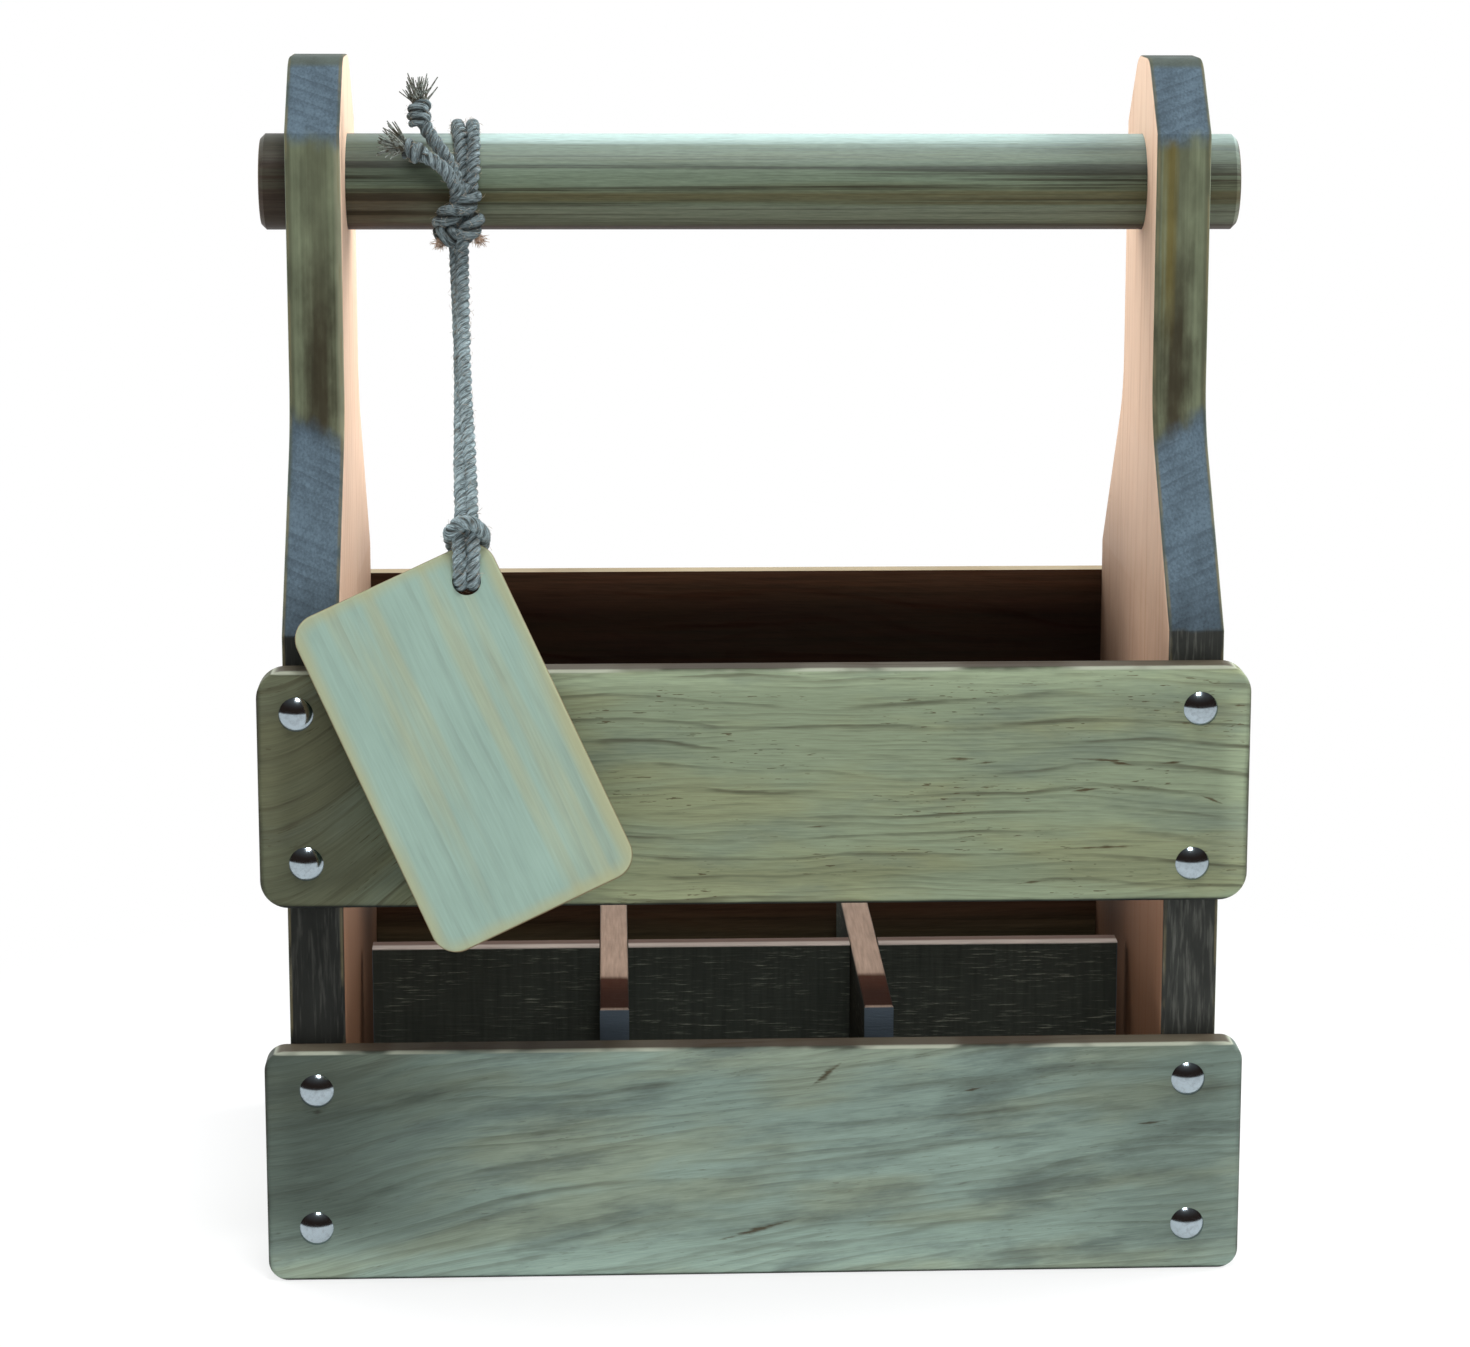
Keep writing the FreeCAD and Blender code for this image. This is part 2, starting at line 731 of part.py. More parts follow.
knot_sizes = (cell["knot_width"], cell["knot_depth"], cell["knot_height"])


def run_to_knot(start, heading):
    """The straight run from a point, along a heading, to just under the knot's surface."""
    from_centre = [2 * (start - knot_centre)[i] / knot_sizes[i].value for i in range(3)]
    travel = [2 * heading[i] / knot_sizes[i].value for i in range(3)]
    square = sum(part ** 2 for part in travel)
    half_linear = sum(a * b for a, b in zip(from_centre, travel))
    constant = sum(part ** 2 for part in from_centre) - 1
    length = (-half_linear - math.sqrt(half_linear ** 2 - square * constant)) / square
    return start + heading * (length + cord_gap)


def make_turns():
    """Two turns round the dowel, one unbroken tube with straight ends at the knot."""
    step = (TURNS_END_ANGLE - TURNS_START_ANGLE) / TURN_SPAN_COUNT
    angles = [TURNS_START_ANGLE + step * index for index in range(TURN_SPAN_COUNT + 1)]
    pitch = cell["turn_pitch"].value
    start_x = -first_turn_offset.value

    def at(angle):
        return round_dowel(angle, turn_radius, start_x - pitch * (angle - TURNS_START_ANGLE) / 360)

    first_end = run_to_knot(at(angles[0]), along_turn(angles[0]) * -1)
    last_end = run_to_knot(at(angles[-1]), along_turn(angles[-1]))
    edges = [Part.LineSegment(first_end, at(angles[0])).toShape()]
    for first, last in zip(angles, angles[1:]):
        edges += biarc(at(first), along_turn(first), at(last), along_turn(last))
    edges.append(Part.LineSegment(at(angles[-1]), last_end).toShape())
    solid, path = tube(edges, "cord_turns")
    least_self_gap(path, "cord_turns")
    return cord_node("cord_turns", [solid])


# Hitch: the bight goes through the tag's hole and over both strands above the tag's corner.
# Its route is written from the hole's centre: to the right, up the tag, and out of the tag's face.

strand_offset = cord_radius + cell["strand_gap"].value / 2
HITCH_HALF_ROUTE = ((-2.1, 20.4, 1.2), (-2.1, 14.0, 5.3), (-2.1, -0.9, 5.3), (-2.1, -0.9, -5.3),
                    (-6.0, 11.4, -6.4), (-8.4, 16.2, -0.6), (-6.8, 15.6, 8.8))


def on_tag(place_on_tag):
    right, up, out = place_on_tag
    return tag_hole + tag_lean.multVec(Vector(right, -out, up))


def strand_route(side):
    """The hitch's route from the hanging strand to the middle of the bight, and that strand's heading."""
    points = [on_tag((-side * right, up, out)) for right, up, out in HITCH_HALF_ROUTE]
    heading = (knot_centre + Vector(side * strand_offset, 0, 0) - points[0]).normalize()
    return [points[0] + heading * cell["cord_diameter"].value * 2] + points, heading


def make_hitch():
    points = strand_route(-1)[0] + strand_route(1)[0][::-1]
    solid, path = tube(rounded_path(points, "tag_hitch"), "tag_hitch")
    least_self_gap(path, "tag_hitch")
    return cord_node("tag_hitch", [solid])


def make_drop():
    """The two strands that hang tight from the knot to the hitch."""
    solids = []
    for side in (-1, 1):
        points, heading = strand_route(side)
        edges = [Part.LineSegment(points[0], run_to_knot(points[0], heading)).toShape()]
        solids.append(tube(edges, "cord_drop")[0])
    return cord_node("cord_drop", solids)


# Tails: two short stiff ends that stand up from the knot, each with a stopper knot and a frayed tip.
# Their routes are written from the knot's centre.

TAIL_ROUTES = (((-2.0, -1.0, 8.4), (-5.2, -0.6, 15.6), (-9.0, 1.4, 22.4), (-12.0, 3.6, 28.8)),
               ((-4.4, -3.0, 4.6), (-6.0, -4.6, 13.4), (-10.6, -4.4, 19.4)))
STOPPER_DIRECTIONS = (Vector(-0.05, 0.15, 1), Vector(-1, 0.1, 0.55))


def make_tails():
    tails = []
    stoppers = []
    frays = []
    for index, route in enumerate(TAIL_ROUTES):
        points = [knot_centre + Vector(*offset) for offset in route]
        tails.append(tube(rounded_path(points, "cord_tails"), "cord_tails")[0])
        upright = Rotation(Vector(0, 0, 1), STOPPER_DIRECTIONS[index])
        heading = upright.multVec(Vector(0, 0, 1))
        half_height = cell["stopper_height"] / 2
        centre = points[-1] + (points[-1] - points[-2]).normalize() * cord_gap + heading * half_height.value
        stopper = make_lump(f"stopper_{index}", centre, cell["stopper_width"], cell["stopper_width"],
                            cell["stopper_height"])
        stopper.Placement = FreeCAD.Placement(centre, upright)
        stoppers.append(stopper)
        fray = doc.addObject("Part::Cone", f"fray_{index}")
        fray.setExpression("Radius1", (cell["cord_diameter"] / 2).formula)
        fray.setExpression("Radius2", (cell["fray_width"] / 2).formula)
        fray.setExpression("Height", cell["fray_length"].formula)
        fray.Placement = FreeCAD.Placement(centre + heading * (half_height.value + cord_gap), upright)
        frays.append(fray)
    return [cord_node("cord_tails", tails), group("tail_knots", stoppers), group("tail_frays", frays)]


nodes = [make_side_board(side) for side in ENDS]
nodes.append(make_dowel())
nodes += [make_rail(row, face) for row in RAIL_ROWS for face in RAIL_FACES]
nodes += [make_floor_slat(face) for face in RAIL_FACES]
nodes.append(make_cross_divider())
nodes += [make_short_divider(end) for end in ENDS]
nodes += [make_rail_nails(row, face) for row in RAIL_ROWS for face in RAIL_FACES]
nodes += [make_floor_nails(side) for side in ENDS]
nodes.append(make_tag())
nodes.append(make_turns())
nodes.append(make_lump("cord_knot", knot_centre, *knot_sizes))
nodes.append(make_drop())
nodes.append(make_hitch())
nodes += make_tails()

doc.recompute()
for thing in doc.Objects:
    if "Invalid" in thing.State or "Error" in thing.State:
        raise ValueError(f"{thing.Label} did not build: {thing.State}")

os.makedirs("parts", exist_ok=True)
for node in nodes:
    if node.Shape.isNull() or not node.Shape.isValid():
        raise ValueError(f"{node.Label} has no valid shape")
    node.Shape.exportStep(os.path.join("parts", f"{node.Label}.step"))
    print(node.Label, len(node.Shape.Solids), "solids", round(node.Shape.Volume), "mm3")
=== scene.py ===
# %% [markdown]
# # A wooden bottle caddy, dressed for the camera
# The joinery comes ready made from the CAD frame: two shaped side boards, a dowel handle, four
# nailed rails, a floor, and a loose lattice of dividers. This lesson gives every board its own
# wash and grain, sets bright domed nails, and lays the twisted cord that holds the tag. Everything
# is procedural.

# %% Load the frame
import math

import bpy
from mathutils import Matrix, Vector


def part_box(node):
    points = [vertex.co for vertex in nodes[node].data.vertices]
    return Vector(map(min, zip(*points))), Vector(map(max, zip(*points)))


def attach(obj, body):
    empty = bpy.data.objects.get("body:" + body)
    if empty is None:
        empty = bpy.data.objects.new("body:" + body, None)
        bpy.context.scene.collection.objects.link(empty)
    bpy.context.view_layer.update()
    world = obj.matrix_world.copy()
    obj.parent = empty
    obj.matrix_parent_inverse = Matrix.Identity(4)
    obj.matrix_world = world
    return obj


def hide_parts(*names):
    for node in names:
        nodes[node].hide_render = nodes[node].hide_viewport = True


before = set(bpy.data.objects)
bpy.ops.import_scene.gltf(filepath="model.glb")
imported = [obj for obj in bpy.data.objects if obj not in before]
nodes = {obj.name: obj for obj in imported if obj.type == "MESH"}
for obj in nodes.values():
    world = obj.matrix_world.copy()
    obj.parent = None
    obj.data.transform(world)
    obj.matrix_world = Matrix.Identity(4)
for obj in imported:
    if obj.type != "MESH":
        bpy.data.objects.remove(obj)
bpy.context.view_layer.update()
scene = bpy.context.scene
scene.view_settings.view_transform = "Standard"
MM = 0.001

# %% [markdown]
# ## Camera
# A product photograph like this one is taken from a little above, with a long lens. The place and
# the three angles below were fitted to the corners of the rails and to the nail heads. The picture
# is 1470 by 1347, and its optical centre lies off the middle, so the lens is shifted by the same
# share.

# %% Set the camera
PHOTO_WIDTH = 1470
PHOTO_HEIGHT = 1347
FOCAL_PIXELS = 4037.6
OPTICAL_CENTRE = (821.3, 645.3)
CAMERA_PLACE = Vector((-0.04665, -1.34738, 0.45611))
CAMERA_PITCH = math.radians(11.1755)
CAMERA_YAW = math.radians(3.067)
CAMERA_ROLL = math.radians(0.2553)


def make_camera():
    forward = Vector((math.sin(CAMERA_YAW) * math.cos(CAMERA_PITCH),
                      math.cos(CAMERA_YAW) * math.cos(CAMERA_PITCH), -math.sin(CAMERA_PITCH)))
    level = Vector((math.cos(CAMERA_YAW), -math.sin(CAMERA_YAW), 0))
    upright = level.cross(forward)
    right = level * math.cos(CAMERA_ROLL) + upright * math.sin(CAMERA_ROLL)
    up = upright * math.cos(CAMERA_ROLL) - level * math.sin(CAMERA_ROLL)
    data = bpy.data.cameras.new("photo_camera")
    data.sensor_fit = "HORIZONTAL"
    data.lens = data.sensor_width * FOCAL_PIXELS / PHOTO_WIDTH
    data.shift_x = 0.5 - OPTICAL_CENTRE[0] / PHOTO_WIDTH
    data.shift_y = (OPTICAL_CENTRE[1] - PHOTO_HEIGHT / 2) / PHOTO_WIDTH
    camera = bpy.data.objects.new("photo_camera", data)
    turn = Matrix((right, up, -forward)).transposed().to_4x4()
    camera.matrix_world = Matrix.Translation(CAMERA_PLACE) @ turn
    scene.collection.objects.link(camera)
    scene.camera = camera
    print("lens", round(data.lens, 2), "shift", round(data.shift_x, 4), round(data.shift_y, 4))


make_camera()

# %% [markdown]
# ## Node maths in Python
# Long chains of Math nodes are hard to read as clicks and worse as code. A small class can wrap
# one output socket, so that an ordinary expression adds the nodes. It serves shader trees and
# geometry trees alike, and every other node comes from its one method, node.

# %% Wrap a socket


class Wire:
    """An output socket of a node tree. Python's operators on it add Math nodes to that tree."""

    def __init__(self, tree, socket=None):
        self.tree = tree
        self.socket = socket

    def node(self, kind, settings=None, inputs=None, output=0):
        """Add a node with its settings and its sockets' values or links, and return one output."""
        made = self.tree.nodes.new(kind)
        for name, value in (settings or {}).items():
            setattr(made, name, value)
        for key, value in (inputs or {}).items():
            if isinstance(value, Wire):
                self.tree.links.new(value.socket, made.inputs[key])
            else:
                made.inputs[key].default_value = value
        return Wire(self.tree, made.outputs[output] if made.outputs else None)

    def other(self, output):
        """Another output of the same node."""
        return Wire(self.tree, self.socket.node.outputs[output])

    def math(self, operation, *values):
        sockets = dict(enumerate((self, *values)))
        return self.node("ShaderNodeMath", {"operation": operation}, sockets)

    def vector(self, operation, inputs=None, output=0):
        """A Vector Math node whose first vector is this one."""
        vectors = {0: self, **(inputs or {})}
        return self.node("ShaderNodeVectorMath", {"operation": operation}, vectors, output)

    def __add__(self, value):
        return self.math("ADD", value)

    def __sub__(self, value):
        return self.math("SUBTRACT", value)

    def __mul__(self, value):
        return self.math("MULTIPLY", value)

    def __truediv__(self, value):
        return self.math("DIVIDE", value)

    def __rsub__(self, value):
        return self.node("ShaderNodeMath", {"operation": "SUBTRACT"}, {0: value, 1: self})

    def __abs__(self):
        return self.math("ABSOLUTE")

    __radd__ = __add__
    __rmul__ = __mul__


# %% [markdown]
# A finish is mostly masks: soft steps that say where one colour gives way to another. The helpers
# below make steps, mix and shade colours, and draw noise whose grain comes from dividing the
# coordinates.

# %% Masks, colours and noise


def rise(value, low, high):
    """A soft step from 0 to 1 while a value climbs from low to high."""
    return value.node("ShaderNodeMapRange", {"interpolation_type": "SMOOTHSTEP"},
                      {"Value": value, "From Min": low, "From Max": high})


def fall(value, low, high):
    """A soft step from 1 to 0 while a value climbs from low to high."""
    return 1 - rise(value, low, high)


def swing(value, width):
    """Noise, which stays round one half, made to swing round zero over about this width."""
    return (value - 0.5) * width


def mix(mask, first, second):
    """The first colour where the mask is 0, the second where it is 1."""
    return mask.node("ShaderNodeMix", {"data_type": "RGBA"}, {0: mask, 6: first, 7: second}, 2)


def shade(colour, value):
    """A colour made darker or lighter by a value round 1."""
    return value.node("ShaderNodeMix", {"data_type": "RGBA", "blend_type": "MULTIPLY"},
                      {0: 1.0, 6: colour, 7: value}, 2)


def noise(u, v, w, detail=3.0, roughness=0.55):
    """Noise whose cells are as long as the three coordinates have been divided by."""
    place = u.node("ShaderNodeCombineXYZ", None, {0: u, 1: v, 2: w})
    return u.node("ShaderNodeTexNoise", None,
                  {"Vector": place, "Scale": 1.0, "Detail": detail, "Roughness": roughness})


def paint(red, green, blue):
    return (red, green, blue, 1.0)


print("helpers", [helper.__name__ for helper in (rise, fall, swing, mix, shade, noise, paint)])

# %% [markdown]
# ## Materials
# All the wood starts as the same softwood. What differs is the wash: pale sage on the rails,
# charcoal on the dividers, bare peach inside the boards. So one function finds millimetre
# coordinates on a piece, one draws growth rings, and each finish then mixes its own colours.
# Object coordinates serve for all of them, because every piece keeps its place in its own mesh.

# %% Start and finish a material


def start_material(name):
    material = bpy.data.materials.new(name)
    material.use_nodes = True
    return material, Wire(material.node_tree)


def finish_material(material, colour, roughness, relief=None, relief_depth=0.0, gloss=0.06):
    """Link colour, roughness and relief, the last as bump of a depth in millimetres."""
    tree = material.node_tree
    shader = tree.nodes["Principled BSDF"]
    shader.inputs["Specular IOR Level"].default_value = gloss
    tree.links.new(colour.socket, shader.inputs["Base Color"])
    tree.links.new(roughness.socket, shader.inputs["Roughness"])
    if relief is not None:
        normal = relief.node("ShaderNodeBump", None,
                             {"Height": relief, "Distance": relief_depth * MM})
        tree.links.new(normal.socket, shader.inputs["Normal"])
    return shader


def millimetres(wire):
    """The three object coordinates, in millimetres."""
    place = wire.node("ShaderNodeTexCoord", output="Object")
    x = wire.node("ShaderNodeSeparateXYZ", None, {0: place.vector("SCALE", {"Scale": 1 / MM})})
    return x, x.other("Y"), x.other("Z")


def growth_rings(along, across, depth, spacing, sway, seed, start=0.5):
    """Late-wood lines, 0 to 1, that wander and fade; each begins at this share of its ring."""
    slow = swing(noise(along / 150, across / 60, depth / 60 + seed, 2.0), sway)
    quick = swing(noise(along / 44, across / 7, depth / 7 + seed, 4.0), spacing * 0.55)
    level = (across + depth * 0.6 + slow + quick) / spacing
    saw = level.math("FRACT")
    line = rise(saw, start, 0.9) * fall(saw, 0.92, 1.0)
    fade = noise(along / 40, level * 0.6, depth / 40 + seed + 7.0, 3.0)
    return line * rise(fade, 0.36, 0.66)


def box_mm(name):
    low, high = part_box(name)
    return Vector(low) / MM, Vector(high) / MM


def hang(node_names, material):
    """Give CAD nodes their finish."""
    for name in node_names:
        slots = nodes[name].data.materials
        slots.clear()
        slots.append(material)
    print(material.name, "on", ", ".join(node_names))


# %% [markdown]
# ## Rails
# The four rails wear a thin sage wash. Dark growth lines and small brown flecks of resin show
# through it, clouds of blue-grey and straw lie over each other, the outline is burnished almost
# black, and the inner faces are stained dark and deepened with painted shade. Painted highlights
# and shade lie along the outline, the head and the foot, with a painted shadow on the bottom
# arris. A painted picture would suit only one board, so all four rails share one function, and a
# table of looks says how each board differs.

# %% Rail colours
SAGE = paint(0.205, 0.250, 0.165)
STRAW = paint(0.218, 0.236, 0.132)
SLATE = paint(0.090, 0.116, 0.108)
MIST = paint(0.235, 0.315, 0.270)
FOAM = paint(0.250, 0.295, 0.215)
LINE_DARK = paint(0.058, 0.056, 0.036)
RESIN_BROWN = paint(0.050, 0.030, 0.012)
BURNISH = paint(0.024, 0.021, 0.017)
# The next colour is a painted shadow along each rail's bottom arris.
FOOT_SHADOW = paint(0.006, 0.008, 0.010)
# The next colour is a worn top arris, brightened by a painted highlight.
PALE_ARRIS = paint(0.420, 0.450, 0.360)
TOP_DARK = paint(0.054, 0.040, 0.026)
TOP_TAN = paint(0.330, 0.265, 0.165)
# The next three colours are the inner faces' stain, deepened with painted shade.
INSIDE_STAIN_AND_SHADE = paint(0.0085, 0.0016, 0.0008)
INSIDE_HIGH = paint(0.046, 0.019, 0.010)
INSIDE_LOW = paint(0.060, 0.046, 0.024)

# %% [markdown]
# In the table, lengths are in millimetres; the rest are seeds, colours, shares and slopes. Each
# row of resin is a fleck: its place along and up the rail, its length, its thickness and its
# slope. The glow and the light at foot and head are shares of painted light: they lighten the
# colour, and darken it where they are below zero.

# %% Rail looks
BACK_LOOK = {
    "sweep": 0.0, "smoke_length": 40.0, "far_smoke": 0.2, "clear_foot": 0.0, "painted_foot_light": 0.0,
    "painted_head_light": 0.0, "glow": 0.25, "pores": 0.6, "top": TOP_TAN}
RAIL_LOOKS = {
    "upper_front_rail": {
        "seed": 1.7, "ground": SAGE, "tint": STRAW, "spacing": 7.4, "sway": 24.0, "slant": 0.01,
        "sweep": 42.0, "lines": 0.70, "clouds": 0.42, "smoke": paint(0.046, 0.044, 0.026),
        "smoke_length": 62.0, "far_smoke": 0.0, "clear_foot": 0.0, "painted_foot_light": -0.24,
        "painted_head_light": 0.0, "glow": 0.34, "pores": 0.75, "top": TOP_DARK,
        "resin": ((64.7, 171.7, 15.0, 1.3, 0.0), (73.0, 170.4, 10.0, 1.1, 0.1),
                  (110.0, 171.0, 24.0, 1.1, -0.05), (115.0, 170.2, 12.0, 1.6, -0.2),
                  (104.9, 161.2, 11.0, 1.5, 0.12), (112.5, 142.4, 31.0, 1.2, 0.03),
                  (146.0, 157.6, 9.0, 1.3, -0.4), (20.0, 150.0, 10.0, 1.1, 0.05),
                  (88.0, 131.0, 11.0, 1.1, 0.1), (133.0, 170.0, 9.0, 1.1, 0.1))},
    "lower_front_rail": {
        "seed": 7.0, "ground": MIST, "tint": FOAM, "spacing": 12.0, "sway": 34.0, "slant": -0.11,
        "sweep": 8.0, "lines": 0.32, "clouds": 0.66, "smoke": paint(0.044, 0.055, 0.045),
        "smoke_length": 60.0, "far_smoke": 0.40, "clear_foot": 0.8, "painted_foot_light": 0.36,
        "painted_head_light": -0.20, "glow": 0.14, "pores": 0.30, "top": TOP_DARK,
        "resin": ((22.5, 67.6, 12.0, 3.6, 0.8), (0.4, 15.4, 30.0, 2.4, 0.28),
                  (128.0, 50.0, 12.0, 1.3, 0.1), (-141.0, 57.0, 5.0, 2.4, 0.0),
                  (70.0, 62.0, 9.0, 1.3, 0.2))},
    "upper_back_rail": {
        **BACK_LOOK, "seed": 12.3, "ground": SAGE, "tint": STRAW, "spacing": 11.0, "sway": 40.0,
        "slant": 0.05, "lines": 0.70, "clouds": 0.50, "smoke": paint(0.080, 0.080, 0.052),
        "resin": ((-40.0, 160.0, 12.0, 1.4, 0.1), (60.0, 140.0, 8.0, 1.2, 0.0))},
    "lower_back_rail": {
        **BACK_LOOK, "seed": 17.6, "ground": SAGE, "tint": MIST, "spacing": 12.0, "sway": 46.0,
        "slant": -0.06, "lines": 0.60, "clouds": 0.65, "smoke": paint(0.080, 0.088, 0.060),
        "resin": ((30.0, 30.0, 14.0, 1.6, 0.1), (-90.0, 50.0, 7.0, 1.2, 0.0))},
}
print("flecks", {name: len(look["resin"]) for name, look in RAIL_LOOKS.items()})

# %% [markdown]
# The marks go on in the order in which a real board gets them: ground and tint, clouds, growth
# lines, pores, flecks of resin, and last a darkening drawn in from the ends.

# %% Rail grain, flecks and smoke


def rail_grain(x, y, across, look):
    """The wash with its clouds, growth lines and pores, and three of the patterns behind it."""
    seed = look["seed"]
    rings = growth_rings(x, across, y, look["spacing"], look["sway"], seed, 0.72)
    fine = growth_rings(x, across, y, look["spacing"] / 3.6, look["sway"], seed + 2.0, 0.2)
    cloud = noise(x / 52, across / 14, seed + 3.0, 5.0, 0.62)
    tint = noise(x / 90, across / 20, seed + 11.0, 3.0)
    pore = noise(x / 5, across / 0.7, y / 0.7 + seed, 2.0)
    crowd = rise(noise(x / 40, across / 12, seed + 19.0, 2.0), 0.46, 0.60)
    colour = mix(rise(tint, 0.44, 0.62) * 0.7, look["ground"], look["tint"])
    colour = mix(rise(cloud, 0.44, 0.70) * look["clouds"], colour, SLATE)
    colour = mix(fine * 0.30, colour, LINE_DARK)
    colour = mix(rings * look["lines"], colour, LINE_DARK)
    colour = mix(rise(pore, 0.64, 0.70) * crowd * look["pores"], colour, RESIN_BROWN)
    return colour, rings, cloud, tint


def resin_fleck(x, z, fleck, ragged):
    """A short dark dash at a place, with its length, thickness and slope."""
    place_x, place_z, length, thickness, slope = fleck
    right = x - place_x
    up = z - place_z - right * slope
    reach = abs(right) / (length / 2) + abs(up) / (thickness / 2) + ragged
    return fall(reach, 0.15, 1.15)


def rail_smoke(x, z, colour, cloud, look, low, high):
    """A darkening drawn in from both ends; the foot of the near end can stay clear."""
    near_edge = low.x + look["smoke_length"]
    near_end = fall(x + swing(cloud, 90), near_edge - 45, near_edge + 25)
    clear = fall(z, low.z + 3, low.z + 26) * look["clear_foot"]
    colour = mix(near_end * (1 - clear) * 0.80, colour, look["smoke"])
    far_end = rise(x + swing(cloud, 90), high.x - 90, high.x - 20)
    return mix(far_end * look["far_smoke"], colour, look["smoke"])


# %% [markdown]
# Handling darkens a board along its outline, and a painted highlight runs just inside it, so the
# distance to the nearest side drives both. The inner face never saw the wash. It has a dark stain,
# deepened with painted shade, found by the distance from the middle of the thickness.

# %% Rail outline and inner face
INSIDE_RANGE = (120.0, 165.0)
SWEEP_LENGTH = 75.0


def rail_outline(x, z, colour, look, low, high):
    """Painted light and shade at head and foot and a painted highlight inside the outline;
    burnished sides, a painted bottom-arris shadow, and a worn top arris with a painted highlight.
    """
    rim = x - low.x
    for side in (high.x - x, z - low.z, high.z - z):
        rim = rim.math("SMOOTH_MIN", side, 6.0)
    rim = rim + swing(noise(x / 22, z / 22, look["seed"], 3.0), 2.0)
    # A painted highlight just inside the outline, and painted light and shade along foot and head.
    glow = rise(rim, 0.8, 1.9) * fall(rim, 2.4, 11.0) * look["glow"]
    foot = fall(z, low.z + 4, low.z + 20) * look["painted_foot_light"]
    head = rise(z, high.z - 42, high.z - 12) * look["painted_head_light"]
    colour = shade(colour, glow + foot + head + 1.0)
    colour = mix(fall(rim, 0.0, 1.1) * 0.80, colour, BURNISH)
    # A painted shadow along the bottom arris.
    colour = mix(fall(z, low.z + 0.5, low.z + 1.3) * 0.80, colour, FOOT_SHADOW)
    # The top arris is worn, and brightened with a painted highlight.
    wear_and_highlight = rise(noise(x / 26, z / 9, look["seed"] + 8.0, 2.0), 0.36, 0.56)
    return mix(rise(z, high.z - 1.3, high.z - 0.8) * wear_and_highlight * 0.75, colour, PALE_ARRIS)


def inside_stain_and_shade(x, z, fibre, seed, high):
    """The inner face's stain, deepened with painted shade: brown low down, then nearly black,
    lighter under the top edge.
    """
    stain = mix(rise(z, *INSIDE_RANGE), INSIDE_LOW, INSIDE_STAIN_AND_SHADE)
    stain = mix(rise(z, high.z - 17, high.z - 1), stain, INSIDE_HIGH)
    grain = noise(x / 90, z / 2.4, seed + 23.0, 4.0, 0.6)
    return shade(stain, swing(grain, 2.0) + fibre * 0.8 + 0.6)


def rail_wash(name, look):
    material, wire = start_material(f"{name}_wash")
    x, y, z = millimetres(wire)
    low, high = box_mm(name)
    across = z + x * look["slant"] + fall(x, low.x, low.x + SWEEP_LENGTH) * look["sweep"]
    fibre = noise(x / 10, across / 0.5, y / 0.5, 3.0, 0.6)
    colour, rings, cloud, tint = rail_grain(x, y, across, look)
    ragged = swing(noise(x / 4.0, z / 0.7, look["seed"] + 5.0, 3.0), 1.6)
    for fleck in look["resin"]:
        colour = mix(resin_fleck(x, z, fleck, ragged) * 0.85, colour, RESIN_BROWN)
    colour = rail_smoke(x, z, colour, cloud, look, low, high)
    colour = shade(colour, swing(fibre, 0.62) + 1.0)
    colour = rail_outline(x, z, colour, look, low, high)
    middle = (low.y + high.y) / 2
    half_thickness = (high.y - low.y) / 2
    outward = (y - middle) * math.copysign(1.0, middle)
    top = rise(z, high.z - 0.9, high.z - 0.1)
    top = top * fall(outward, half_thickness - 1.6, half_thickness - 0.4)
    colour = mix(top * 0.90, colour, shade(look["top"], tint * 1.2 + 0.4))
    inside = fall(outward, 0.03 - half_thickness, 0.15 - half_thickness)
    colour = mix(inside * 0.97, colour, inside_stain_and_shade(x, z, fibre, look["seed"], high))
    roughness = rings * 0.12 + fibre * 0.10 + inside * 0.3 + 0.46
    finish_material(material, colour, roughness, fibre * 0.6 - rings * 0.5, 0.12)
    hang([name], material)


for rail_name, rail_look in RAIL_LOOKS.items():
    rail_wash(rail_name, rail_look)

# %% [markdown]
# ## Side boards
# The boards are bare inside, a warm peach with upright grain. Their edges took the wash unevenly:
# slate blue where end grain drank it, on the slopes and round the head, olive along the neck, and
# a rough charcoal down between the rails. Masks made from the height and from the distance to the
# middle of the caddy tell those zones apart, because one material then serves both boards.

# %% Board colours and heights
PEACH = paint(0.790, 0.570, 0.420)
PEACH_LINE = paint(0.560, 0.320, 0.180)
# The next colour is stain, deepened with painted shade towards the floor.
INNER_STAIN_AND_SHADE = paint(0.225, 0.090, 0.036)
OLIVE = paint(0.135, 0.155, 0.098)
OLIVE_CORE = paint(0.032, 0.024, 0.014)
NECK_OCHRE = paint(0.120, 0.092, 0.022)
NECK_PALE = paint(0.250, 0.262, 0.178)
END_SLATE = paint(0.082, 0.120, 0.152)
END_DARK = paint(0.034, 0.048, 0.062)
SLATE_BORDER = paint(0.070, 0.080, 0.052)
CHARCOAL = paint(0.030, 0.032, 0.029)
CHARCOAL_PALE = paint(0.070, 0.072, 0.064)
OUTER_WASH = paint(0.165, 0.190, 0.135)
OUTER_LINE = paint(0.062, 0.066, 0.048)
ARRIS_TAN = paint(0.170, 0.145, 0.080)
SHOULDER_HEIGHT = 211.0
NECK_FOOT_HEIGHT = 272.0
HEAD_HEIGHT = 365.3
CREST_HEIGHT = 388.5
NECK_FADE = (292.0, 345.0)
OCHRE_FADE = (290.0, 325.0)
# Stain and painted shade fade out over these heights.
GLOOM_FADE = (100.0, 285.0)
# The next two places hold painted shade in the back corners.
CORNER_SHADE_FADE = (165.0, 265.0)
CORNER_SHADE_DEPTH = (-50.0, 50.0)
CADDY_MIDDLE = (-1.0, 1.0)
END_GRAIN_SLANT = 0.55

